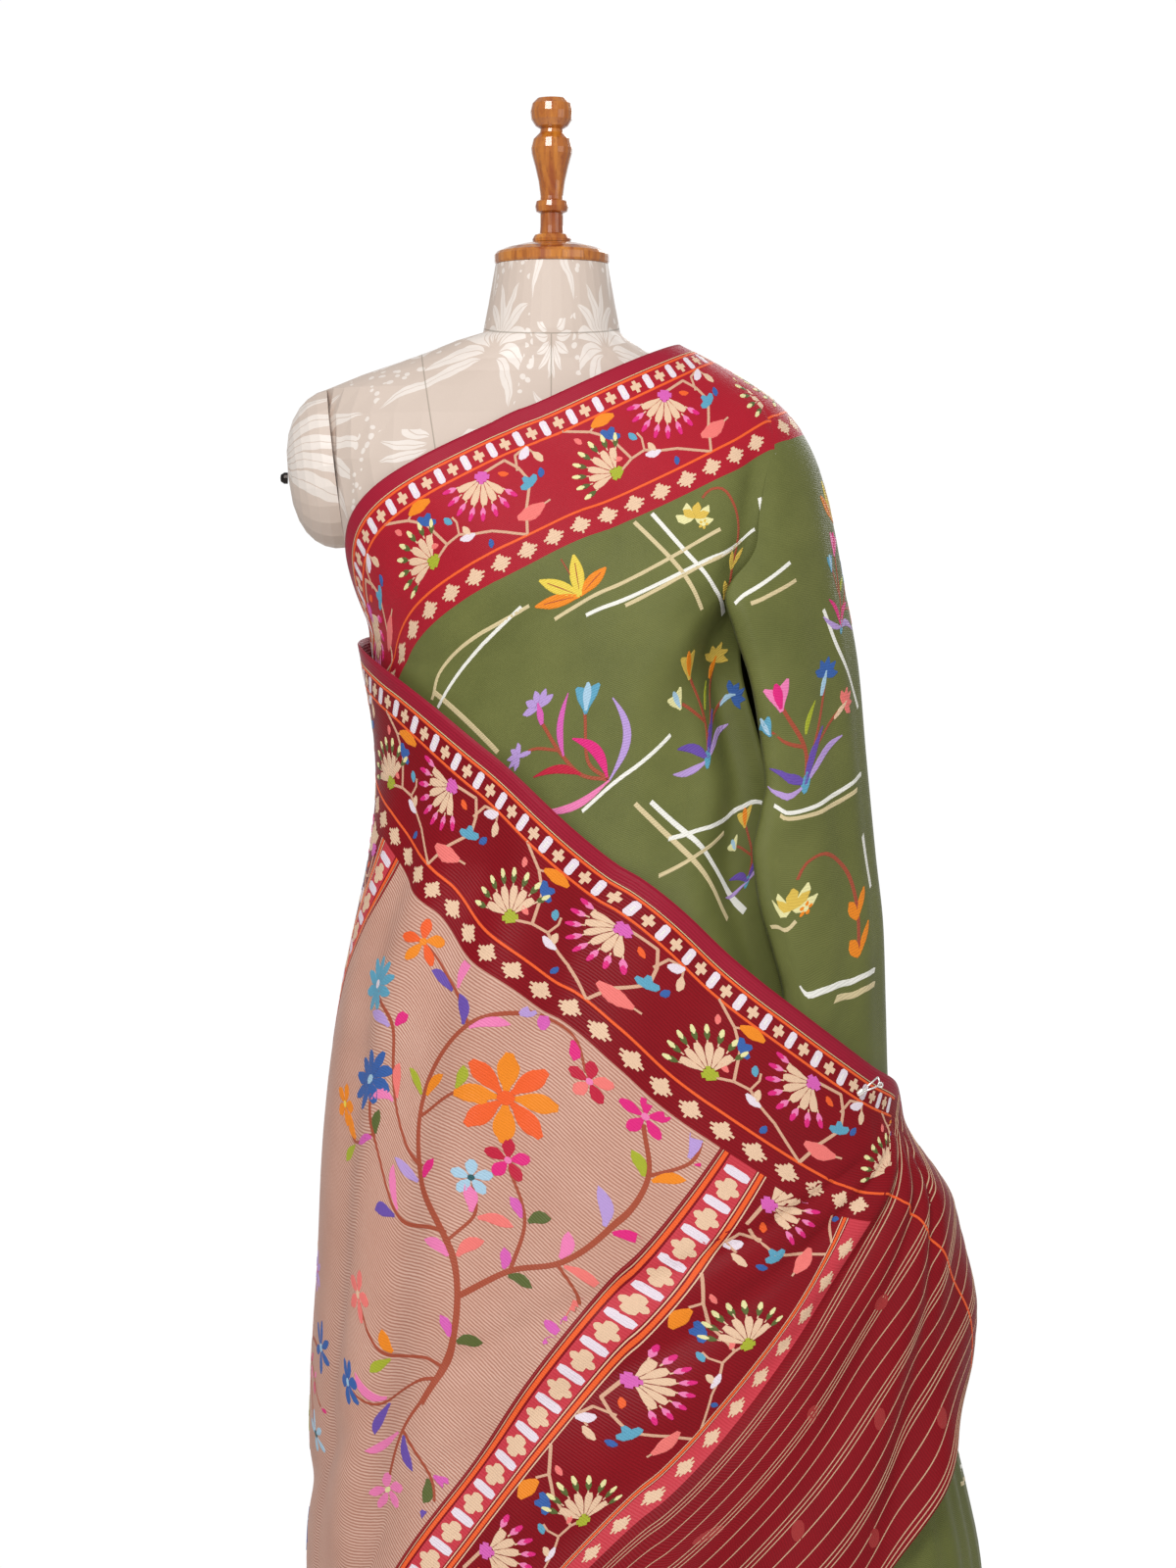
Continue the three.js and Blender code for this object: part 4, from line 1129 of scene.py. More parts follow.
def border(art, first, last):
    """Lines, crosses, pills, leaves and vine between two places along the cloth, in millimetres."""
    for away, width, thread in (
        (14.0, 0.9, "beige"), (16.4, 2.6, "orange"), (34.2, 2.6, "orange"), (110.6, 2.8, "orange"),
    ):
        blade(art, line_path((first, away), (last, away)), width, thread, STEM_LIFT)
    for repeat in range(math.ceil(first / VINE_REPEAT - 1), int(last / VINE_REPEAT) + 1):
        origin = repeat * VINE_REPEAT
        vine_repeat(art, lambda x, y, *turn_and_size, o=origin: Spot(
            o + VINE_REPEAT - x, VINE_MIDDLE - y, *turn_and_size))
        for k in range(14):
            spot = Spot(origin + (k + 0.5) * SMALL_PITCH, SMALL_ROW)
            if k % 2:
                block(art, spot(mirrored(CROSS)), "peach")
            else:
                block(art, spot(mirrored(PILL)), "lilac_white")
                blade(art, spot(line_path((0, -3), (0, 3))), 1.6, "white", HEART_LIFT)
        for k in range(7):
            block(art, Spot(origin + (k + 0.5) * LEAF_PITCH, LEAF_ROW)(mirrored(MAPLE)), "peach")


def end_band(art, inner, way, first, last):
    """The same rows across the cloth. The place inner is the beige side and way is where the band goes."""
    def spot_at(down, depth, turn=0.0, size=1.0):
        return Spot(inner + way * depth, down, turn, size, swap=True, flip=way)

    for depth, width, thread in (
        (1.0, 0.9, "tone_red"), (2.6, 0.8, "pin_beige"), (5.0, 3.2, "orange"), (28.4, 1.0, "peach"),
        (31.2, 3.2, "orange"), (34.0, 1.0, "peach"), (109.8, 1.0, "peach"), (112.4, 3.0, "orange"),
        (115.0, 1.0, "peach"),
    ):
        blade(art, line_path((inner + way * depth, first), (inner + way * depth, last)), width, thread, STEM_LIFT)
    for repeat in range(math.floor(first / BAND_REPEAT), int(last / BAND_REPEAT) + 1):
        origin = repeat * BAND_REPEAT + BAND_SHIFT
        stretch = BAND_REPEAT / VINE_REPEAT
        vine_repeat(art, lambda x, y, *turn_and_size, o=origin: spot_at(
            o + stretch * x, VINE_MIDDLE - y, *turn_and_size))
        for k in range(6):
            place = origin + (k + 0.25) * BAND_PITCH
            block(art, spot_at(place, BAND_SMALL_ROW)(mirrored(QUATREFOIL)), "peach")
            block(art, spot_at(place + BAND_PITCH / 2, BAND_SMALL_ROW, 90)(mirrored(WIDE_PILL)), "lilac_white")
            block(art, spot_at(place, BAND_LEAF_ROW)([(1.08 * x, 1.08 * y) for x, y in mirrored(MAPLE)]), "peach")


# %% Weave the borders
def extent(entry, key):
    return float(entry[key].min()) * 1000, float(entry[key].max()) * 1000


for name, uv_name in (
    ("chest", "Cloth"), ("fall", "Cloth"), ("back", "Cloth"), ("pallu", "Cloth"),
    ("fall", "Hem"), ("back", "Hem"), ("pallu", "Hem"), ("skirt", "Hem"), ("pleats", "Hem"),
):
    entry = stretches["saree_" + name]
    first, last = extent(entry, "along" if uv_name == "Cloth" else "hem_along")
    if name == "pallu":
        first = END_STRIPES * 1000 + 2
    art = Brocade()
    border(art, first, last)
    edge_name = "upper" if uv_name == "Cloth" else "lower"
    limits = (END_STRIPES * 1000, 1e6) if name == "pallu" and uv_name == "Cloth" else (-1e6, 1e6)
    carry(art, entry, uv_name, "border_" + name + "_" + edge_name, threads, limits)

for label, name, inner, way in (
    ("front", "pallu", BAND_INNER, -1), ("side", "pallu", BAND_BACK_OUTER, 1), ("rear", "back", BAND_BACK_OUTER, 1),
):
    entry = stretches["saree_" + name]
    art = Brocade()
    first, last = BORDER_WIDTH * 1000, extent(entry, "away")[1] - BORDER_WIDTH * 1000
    end_band(art, inner * 1000, way, first, last)
    carry(art, entry, "Cloth", "band_" + label, threads, away_limits=(first, last))

# %% Pinstripes and round spots of the striped end
STRIPE_PITCH = 15.4
TRIPLE_GAP = 3.9
TRIPLE_EVERY = 3
art = Brocade()
place, group = END_STRIPES * 1000 - 13, 0
while place > 8:
    for k in range(3 if group % TRIPLE_EVERY == 0 else 1):
        blade(art, line_path((place, 6), (place, 1180)), 1.2, "pin_beige", STEM_LIFT)
        place -= TRIPLE_GAP
    place -= STRIPE_PITCH - TRIPLE_GAP
    group += 1
blade(art, line_path((4, 110.6), (END_STRIPES * 1000, 110.6)), 2.6, "orange", PETAL_LIFT)
ROUND = [(2.6 * 3 * math.sin(k * math.pi / 6), 2.6 * 3 * math.cos(k * math.pi / 6)) for k in range(12)]
for k, place in enumerate((35, 102, 170)):
    for down in range(190 + 60 * (k % 2), 1150, 120):
        block(art, Spot(place, down)(ROUND), "tone_red", STEM_LIFT)
carry(art, pallu, "Cloth", "end_pinstripes", threads)

# %% [markdown]
# The field flowers are placed where they are seen. A ray from the camera through a spot of the picture finds the
# stretch of cloth there and its flat place. The flowers are still drawn in flat thread, so they bend with the folds.

# %% Place a flower by where it is seen
FRONT_STRETCHES = ("saree_chest", "saree_fall", "saree_pallu", "saree_skirt", "saree_back")


def cloth_at(pixel_x, pixel_y, only=None):
    """The stretch seen at a pixel, and its flat place in millimetres."""
    best = None
    ray = seen_at(pixel_x, pixel_y)
    for name in (only,) if only else FRONT_STRETCHES:
        entry = stretches[name]
        hit, _, index, distance = entry["solid_tree"].ray_cast(camera_spot, ray)
        if hit is not None and (best is None or distance < best[0]):
            best = (distance, name, index, np.array(hit))
    if best is None:
        return None
    _, name, index, hit = best
    entry = stretches[name]
    a, b, c = entry["triangles"][index]
    solid = entry["points"].reshape(-1, 3)
    edges = np.stack([solid[b] - solid[a], solid[c] - solid[a]], 1)
    share = np.linalg.lstsq(edges, hit - solid[a], rcond=None)[0]
    flat = entry["flat_trees"]["Cloth"][0]
    return name, (flat[a] + (flat[b] - flat[a]) * share[0] + (flat[c] - flat[a]) * share[1])[:2] * 1000


def spot_in_view(pixel_x, pixel_y, size=1.0, lean=0.0):
    """A spot on the cloth whose upright runs up the picture."""
    found = cloth_at(pixel_x, pixel_y)
    if found is None:
        return None
    above = cloth_at(pixel_x, pixel_y - 8, found[0])
    if above is None:
        above = (found[0], found[1] - np.array([0.0, 6.0]))
    rise = -(above[1] - found[1])
    turn = math.degrees(math.atan2(-rise[0], rise[1])) - lean
    return found[0], Spot(found[1][0], found[1][1], turn, size)


# %% Flowers, sprays and crossing lines of the fields
BUD_LENGTH, BUD_WIDTH = 8.5, 4.6


def tulip(art, spot, at, lean, outer, inner, size=1.0):
    def here(x, y):
        return polar(size * math.hypot(x, y), lean + math.degrees(math.atan2(x, y)), at)

    for side in (-1, 1):
        petal(art, spot, here(0, -2), here(8 * side, 15), 8.6 * size, outer, bow=0.12 * side, tip=0.25)
    petal(art, spot, here(0, 0), here(0, 17), 7 * size, inner, HEART_LIFT, tip=0.25)


def lily(art, spot, at, lean, outer, inner, size=1.0):
    for degrees in (-78, -40, 0, 40, 78):
        petal(art, spot, at, polar(14 * size, lean + degrees, at), 7 * size, outer, tip=0.2)
    petal(art, spot, polar(4 * size, lean, at), polar(-14 * size, lean, at), 6.4 * size, inner, HEART_LIFT, tip=0.5)


def daisy(art, spot, x, y, count, reach, width, thread, heart, second=None):
    at = (x, y)
    for k in range(count):
        degrees = 360 * k / count + 11
        shade = second if second and k % 2 else thread
        petal(art, spot, polar(reach * 0.16, degrees, at), polar(reach, degrees, at), width, shade, tip=0.35)
    ring = [polar(max(1.8, reach * 0.17), 45 * k, at) for k in range(8)]
    block(art, spot(ring), heart, HEART_LIFT)


def bud_row(art, spot, corners, shades):
    """A thin stem with a bud at its end and pairs of buds along it."""
    stem(art, spot, corners, 1.7, "stem_brown")
    path = soft_path(corners)
    marks = np.linspace(len(path) - 1, len(path) * 0.35, 3).astype(int)
    for k, mark in enumerate(marks):
        step = path[mark] - path[max(0, mark - 1)]
        lean = math.degrees(math.atan2(*step))
        for turn in (-62, 62) if k else (0,):
            foot = polar(2.5, lean + turn, path[mark])
            shade = shades[(k + (turn > 0)) % len(shades)]
            petal(art, spot, foot, polar(BUD_LENGTH, lean + turn, foot), BUD_WIDTH, shade)


def stems(art, spot, rows):
    for width, *corners in rows:
        stem(art, spot, corners, width, "stem_brown")


def leaves(art, spot, rows, belly=0.45):
    for start, end, width, shade, bow in rows:
        petal(art, spot, start, end, width, shade, bow=bow, belly=belly)


def nodding_lotus(art, spot, leaf="gold"):
    stems(art, spot, [(2.8, (44, -86), (42, -50), (34, -18), (16, 4), (2, 4), (-4, -4))])
    for degrees, length in ((-100, 17), (-50, 13), (50, 13), (100, 17)):
        petal(art, spot, (-7, -20), polar(length, degrees, (-7, -18)), 8.6, "cream", bow=0.2 if degrees < 0 else -0.2)
    for degrees in (-70, 0, 70):
        petal(art, spot, (-7, -21), polar(12, degrees, (-7, -20)), 8.8, "gold", HEART_LIFT)
    daisy(art, spot, 2, -26, 5, 4.5, 3.2, leaf, "cream")
    pairs = (((42, -60), (36, -44)), ((42, -60), (49, -42)), ((44, -86), (37, -70)), ((44, -86), (52, -69)))
    leaves(art, spot, [(foot, end, 6.6, leaf, 0) for foot, end in pairs], belly=0.6)


def tulip_spray(art, spot):
    stems(art, spot, [
        (3.0, (0, 0), (-24, 14), (-42, 40), (-54, 66)), (2.6, (-42, 40), (-60, 50), (-68, 52)),
        (3.0, (0, 0), (-18, 22), (-18, 60)),
    ])
    lily(art, spot, (-56, 80), -6, "lilac", "violet_pink")
    lily(art, spot, (-76, 52), -80, "lilac", "lilac", 0.75)
    tulip(art, spot, (-17, 60), 12, "teal", "ice_blue", 1.25)
    leaves(art, spot, [
        ((-38, 34), (-30, 80), 6.5, "violet_pink", 0.12), ((-24, 14), (-64, 30), 7, "crimson", -0.1),
        ((-2, 3), (-30, 44), 8.5, "magenta", -0.12), ((0, 0), (6, 62), 7.5, "lilac", -0.2),
        ((0, 0), (-58, 0), 7.5, "pink", 0.14),
    ])


def bunch_spray(art, spot, leaf="violet", dark=False):
    stems(art, spot, [
        (2.8, (0, 0), (-2, 26), (-18, 62)), (2.8, (0, 8), (12, 38), (20, 58)), (2.6, (-2, 26), (-20, 40), (-26, 44)),
        (2.6, (0, 16), (22, 28), (34, 32)),
    ])
    high, right, left, low = (
        (("gold", "amber"), ("gold", "amber"), ("cream", "ice_blue"), ("blue", "ice_blue")) if dark else
        (("pink", "magenta"), ("blue", "ice_blue"), ("teal", "ice_blue"), ("salmon", "peach"))
    )
    tulip(art, spot, (-19, 62), -10, *high, 1.15)
    lily(art, spot, (21, 62), 30, *right, 0.9)
    tulip(art, spot, (-28, 42), -30, *left, 0.85)
    lily(art, spot, (36, 32), 70, *low, 0.8)
    leaves(art, spot, [
        ((0, 0), (-28, 14), 7, leaf, -0.12), ((0, 0), (-30, -2), 6, "lilac", 0.1), ((0, 0), (14, 30), 7, leaf, 0.1),
        ((0, 0), (32, 12), 7, "lilac", 0.15), ((-1, 34), (8, 52), 5, "lime", 0.1), ((0, -6), (0, 8), 7, "teal", 0),
    ])


def leaf_fan(art, spot):
    for degrees, length, shade in ((-58, 36, "yellow"), (-8, 34, "yellow"), (42, 28, "amber"), (-92, 34, "amber")):
        petal(art, spot, (0, 0), polar(length, degrees), 11.5, shade, belly=0.5)
        petal(art, spot, polar(5, degrees), polar(length * 0.8, degrees), 1.0, "stem_brown", HEART_LIFT, tip=0.8)
    stems(art, spot, [(1.2, (-14, 32), (-6, 16))])


LINE_WIDTH = 4.2
CLUSTER = (
    ("beige", (-62, 11), (34, 11)), ("white", (-48, 0), (58, 0)), ("beige", (-18, -12), (66, -12)),
    ("white", (4, 52), (4, -50)), ("beige", (-9, 44), (-9, -42)),
)


def crossing_lines(art, spot):
    for thread, start, end in CLUSTER:
        blade(art, spot(line_path(start, end)), LINE_WIDTH, thread, STEM_LIFT)


# %% The front of the olive field, as it is seen
SEEN_LINES = (
    ("beige", (441, 714), (456, 676), (540, 618)), ("white", (447, 722), (466, 690), (532, 619)),
    ("beige", (455, 732), (512, 658)), ("beige", (443, 706), (508, 768)),
    ("beige", (566, 632), (735, 540)), ("white", (598, 628), (770, 540)), ("beige", (638, 618), (756, 552)),
    ("white", (654, 512), (708, 572), (738, 626)), ("beige", (638, 524), (690, 576), (716, 622)),
    ("white", (778, 437), (796, 470), (818, 524)), ("beige", (766, 446), (776, 464)),
    ("white", (775, 508), (780, 548), (808, 634)), ("white", (750, 616), (806, 574)),
    ("beige", (766, 616), (812, 592)),
    ("white", (840, 622), (856, 664), (875, 722)), ("white", (594, 828), (684, 750)),
    ("white", (632, 902), (738, 838)), ("beige", (672, 894), (738, 850)), ("white", (682, 856), (780, 820)),
    ("beige", (648, 820), (702, 872), (742, 938)), ("white", (664, 818), (720, 870), (760, 930)),
    ("white", (790, 822), (878, 790)), ("beige", (796, 832), (874, 806)), ("white", (816, 1006), (892, 990)),
    ("beige", (852, 1020), (892, 1004)), ("white", (880, 852), (888, 905)), ("beige", (787, 946), (812, 940)),
)
SEEN_FLOWERS = (
    (leaf_fan, 592, 608, 1.2, 0, {}), (tulip_spray, 622, 796, 1.05, 0, {}),
    (nodding_lotus, 722, 504, 1.05, 12, {}), (bunch_spray, 722, 775, 1.15, 0, {"dark": True}),
    (bunch_spray, 822, 800, 1.15, 4, {}), (nodding_lotus, 820, 888, 1.2, 0, {"leaf": "amber"}),
    (bunch_spray, 762, 900, 0.7, 20, {"dark": True}), (bunch_spray, 858, 640, 1.0, 0, {"leaf": "magenta"}),
    (leaf_fan, 848, 530, 1.0, 40, {}),
)
arts = {}


def art_of(name):
    return arts.setdefault(name, Brocade())


for thread, *corners in SEEN_LINES:
    first = cloth_at(*corners[0])
    found = [cloth_at(x, y, first[0]) for x, y in corners] if first else []
    places = [item[1] for item in found if item is not None]
    if len(places) > 1:
        blade(art_of(first[0]), soft_path(places), LINE_WIDTH, thread, STEM_LIFT)

for flower, x, y, size, lean, colours in SEEN_FLOWERS:
    found = spot_in_view(x, y, size, lean)
    if found is not None:
        flower(art_of(found[0]), found[1], **colours)

# %% [markdown]
# Behind and below, where the picture shows nothing, the field goes on in the same rhythm: a spray, a set of
# crossing lines, and a nodding flower, in rows that are shifted against each other.

# %% The rest of the olive field
FIELD_STEP_ALONG = 215.0
FIELD_STEP_AWAY = 150.0
FIELD_START = BORDER_WIDTH * 1000 + 80
FIELD_SIZE = 0.95
KINDS = (tulip_spray, crossing_lines, nodding_lotus, bunch_spray, crossing_lines, leaf_fan)


def on_olive(entry, uv_name, along, away):
    """Whether a flat place, measured from either selvedge, lies well inside the olive field."""
    _, _, index, off = entry["flat_trees"][uv_name][1].find_nearest((along / 1000, away / 1000, 0))
    corner = entry["triangles"][index][0]
    place, depth = entry["along"].reshape(-1)[corner], entry["away"].reshape(-1)[corner]
    return off < 0.01 and place > BAND_BACK_INNER + 0.05 and depth > BORDER_WIDTH + 0.07


def fill_field(art, entry, uv_name, first, last, end):
    turn = 0 if uv_name == "Cloth" else 180
    for row, away in enumerate(np.arange(FIELD_START, end, FIELD_STEP_AWAY)):
        start = first + (row % 2) * FIELD_STEP_ALONG / 2
        for column, along in enumerate(np.arange(start, last, FIELD_STEP_ALONG)):
            if entry is not back or on_olive(entry, uv_name, along, away):
                KINDS[(column * 2 + row * 3) % len(KINDS)](art, Spot(along, away, turn, FIELD_SIZE))


first = extent(fall, "along")[0]
fill_field(art_of("saree_fall"), fall, "Cloth", first + 20, first + 150, 900)
for name in ("saree_skirt", "saree_pleats", "saree_back"):
    art = Brocade()
    fill_field(art, stretches[name], "Hem", *extent(stretches[name], "hem_along"), 960)
    carry(art, stretches[name], "Hem", "field_" + name[6:], threads)

# %% [markdown]
# The beige field carries one big flowering branch with flowers of many kinds. The branch here is a plain one
# of its own layout, in the real one's colours and scale: a stem rises from the lower left in a slow curve,
# side shoots leave it at shallow angles, a flower ends each shoot, and pairs of leaves sit along the way.

# %% The flowering branch of the beige field
BRANCH_FOOT = (430, 1432)
BRANCH_STEMS = (
    (3.8, (0, 0), (34, 52), (46, 116), (34, 186), (40, 254), (84, 304), (138, 314)),
    (3.2, (42, 84), (84, 108), (130, 122), (166, 152), (196, 196), (200, 238)),
    (2.6, (46, 136), (6, 164), (-22, 208), (-22, 254)), (2.6, (36, 196), (4, 240), (8, 296), (-8, 334)),
    (2.4, (36, 238), (72, 250), (102, 244)), (2.4, (86, 304), (74, 336), (42, 362)),
    (2.4, (88, 110), (106, 148), (100, 186)), (2.2, (126, 121), (136, 96), (124, 70)),
    (2.2, (196, 198), (228, 212), (242, 236)), (2.4, (20, 30), (-16, 50), (-46, 84)),
    (2.2, (4, 6), (-22, -24), (-44, -62)), (2.2, (-20, -22), (-2, -54), (-2, -84)),
    (2.0, (44, 128), (68, 148), (72, 172)), (2.0, (138, 312), (160, 292), (166, 266)),
    (2.2, (-20, 208), (-48, 214), (-64, 236)), (2.0, (12, 20), (-30, 14), (-62, 22)),
)
BRANCH_FLOWERS = (
    (106, 242, 8, 38, 17, "amber", "orange", "orange"), (142, 318, 6, 20, 10, "lilac", "lilac_white", "violet_pink"),
    (202, 244, 5, 18, 10, "magenta", "pink"), (-22, 260, 9, 25, 11, "blue", "ice_blue"),
    (-10, 340, 9, 23, 10, "teal", "lilac_white"), (38, 366, 5, 20, 11, "orange", "amber", "amber"),
    (100, 192, 5, 17, 11, "crimson", "pink", "magenta"), (122, 64, 6, 18, 10, "violet_pink", "lilac_white"),
    (246, 240, 5, 16, 10, "lime", "leaf_olive"), (-50, 88, 5, 17, 10, "salmon", "peach"),
    (-46, -68, 5, 16, 10, "pink", "cream"), (-2, -90, 6, 15, 9, "violet", "ice_blue"),
    (72, 178, 5, 15, 10, "ice_blue", "dark_teal"), (168, 260, 5, 16, 11, "crimson", "pink", "salmon"),
    (-68, 240, 5, 15, 10, "amber", "yellow"), (-66, 24, 6, 15, 9, "blue", "ice_blue"),
)
LEAF_THREADS = ("violet_pink", "leaf_olive", "pink", "salmon", "lilac", "magenta", "lime", "amber", "violet", "pink")
LEAF_LENGTH, LEAF_WIDTH, LEAF_LEAN = 23, 10, 48
name, branch_spot = spot_in_view(*BRANCH_FOOT)
branch_art = art_of(name)
seen_places, leaf_count = [], 0
for width, *corners in BRANCH_STEMS:
    path = soft_path(corners)
    blade(branch_art, branch_spot(path), np.linspace(1.5 * width, 1.15 * width, len(path)), "stem_brown", STEM_LIFT)
    for before, at in zip(corners, corners[1:-1]):
        heading = math.degrees(math.atan2(at[0] - before[0], at[1] - before[1]))
        for side in (-1, 1):
            shade = LEAF_THREADS[leaf_count % len(LEAF_THREADS)]
            length = LEAF_LENGTH * (0.7 + 0.15 * (leaf_count % 5))
            foot = polar(3, heading + 90 * side, at)
            petal(branch_art, branch_spot, foot, polar(length, heading + LEAF_LEAN * side, foot), LEAF_WIDTH, shade,
                  bow=0.1 * side, tip=0.06)
            leaf_count += 1
for flower in BRANCH_FLOWERS:
    daisy(branch_art, branch_spot, *flower)
    seen_places.append(tuple(branch_spot(flower[:2])[0]))
print("shoots:", len(BRANCH_STEMS), "flowers:", len(BRANCH_FLOWERS), "leaves:", leaf_count)

# %% The same branch again towards the hem and round the side
CLEAR_OF_SEEN = 105
SMALL_BRANCH_STEMS = (
    (3.2, (0, 0), (-34, 24), (-60, 60), (-66, 104)), (3.0, (0, 0), (10, 40), (2, 84), (22, 122)),
    (2.4, (-34, 24), (-72, 26), (-96, 44)), (2.4, (8, 50), (34, 66), (58, 66)),
    (2.2, (2, 84), (-22, 104), (-30, 130)),
)
SMALL_BRANCH_FLOWERS = (
    (-66, 116, 8, 26, 9, "amber", "orange", "orange"), (24, 134, 6, 20, 8, "blue", "ice_blue"),
    (-102, 50, 5, 16, 7, "crimson", "pink", "magenta"), (66, 66, 5, 17, 7, "ice_blue", "dark_teal"),
    (-32, 142, 6, 17, 7, "lilac", "violet_pink"), (40, 20, 5, 14, 7, "lime", "leaf_olive"),
)
SMALL_BRANCH_BUDS = (
    ([(-60, 60), (-84, 74), (-104, 92)], ("violet", "lilac")), ([(6, 62), (30, 88), (58, 100)], ("magenta", "pink")),
    ([(-10, 10), (20, 2), (48, -8)], ("leaf_olive", "lime")),
)
SMALL_BRANCH_LEAVES = (
    ((-6, 6), (-14, 44), 13, "violet_pink", 0.1), ((-4, 2), (-44, -6), 13, "pink", 0.1),
    ((-58, 56), (-34, 82), 11, "lilac", 0.1), ((10, 40), (-14, 66), 10, "salmon", 0.1),
)


def small_branch(art, spot):
    """A forked branch with mixed flowers, in a space of about 180 by 200 mm."""
    stems(art, spot, SMALL_BRANCH_STEMS)
    for flower in SMALL_BRANCH_FLOWERS:
        daisy(art, spot, *flower)
    for corners, shades in SMALL_BRANCH_BUDS:
        bud_row(art, spot, corners, shades)
    leaves(art, spot, SMALL_BRANCH_LEAVES, belly=0.6)


for along, away, turn in (
    (520, 830, 8), (600, 640, -10), (650, 990, 0), (470, 1010, 12), (640, 430, 4), (680, 250, -6), (560, 1130, -12),
):
    if all(math.hypot(along - a, away - 60 - b) > CLEAR_OF_SEEN for a, b in seen_places):
        small_branch(branch_art, Spot(along, away, turn, FIELD_SIZE))

# %% Weave the field flowers
FIELD_LIMITS = (BORDER_WIDTH * 1000 + 2, 1e6)
BEIGE_LIMITS = (BAND_INNER * 1000 + 2, BAND_BACK_OUTER * 1000 - 2)
for name, art in arts.items():
    if art.points:
        ends = BEIGE_LIMITS if name == "saree_pallu" else EVERYWHERE
        carry(art, stretches[name], "Cloth", "field_" + name[6:], threads, ends, FIELD_LIMITS)

# %% [markdown]
# The dress form is covered in damask: satin figures on a matt ground of nearly the same ivory. The figure
# is drawn by arithmetic on the angle round the body and the height, in a half-drop repeat. Curved fronds
# fan out from one foot, a smaller fan hangs between them, and small dots lie in the gaps. The panels of
# the cover meet in fine seams: one round the neck, one down the front and one at each side of it.

# %% Damask for the dress form
DAMASK_RADIUS = 0.15
REPEAT_WIDTH = 0.118
REPEAT_HEIGHT = 0.19
FROND_SPACING = 0.46
FROND_BEND = 0.95
FROND_GAP = 0.004
WIDEST_TURN = 1.84
DOT_SIZE = 0.34
NECK_SEAM_HEIGHT = 1.5185
NECK_SEAM_TILT = 0.16
SIDE_SEAM_LEAN = 0.163
SIDE_SEAM_START = -0.1306
SEAM_HALF_WIDTH = 0.0006


def frond_fan(tree, x, y, foot, longest, widest, flip=1.0):
    """Fronds that bend outwards from a foot at the given height of the repeat."""
    rise = product(tree, sums(tree, "SUBTRACT", y, foot), flip)
    reach = sums(tree, "SQRT", sums(tree, "ADD", product(tree, x, x), product(tree, rise, rise)))
    angle = sums(tree, "ARCTAN2", sums(tree, "ABSOLUTE", x), rise)
    turn = sums(tree, "SUBTRACT", angle, product(tree, reach, FROND_BEND))
    place = sums(tree, "SUBTRACT", sums(tree, "FRACT", sums(tree, "DIVIDE", turn, FROND_SPACING)), 0.5)
    off = product(tree, sums(tree, "ABSOLUTE", place), FROND_SPACING, reach)
    grown = spread(tree, reach, 0.0, math.pi, 0.1, longest)
    width = product(tree, sums(tree, "MAXIMUM", sums(tree, "SINE", grown), 0.0), widest)
    return product(
        tree, sums(tree, "LESS_THAN", off, width), sums(tree, "LESS_THAN", reach, longest),
        sums(tree, "GREATER_THAN", off, FROND_GAP), sums(tree, "LESS_THAN", turn, WIDEST_TURN),
    ), reach


def thin_line(tree, distance):
    return sums(tree, "LESS_THAN", sums(tree, "ABSOLUTE", distance), SEAM_HALF_WIDTH)


def repeated(tree, turns, size):
    """The place within one repeat, measured from its middle in tenths of a metre."""
    return product(tree, sums(tree, "SUBTRACT", sums(tree, "FRACT", turns), 0.5), size * 10)


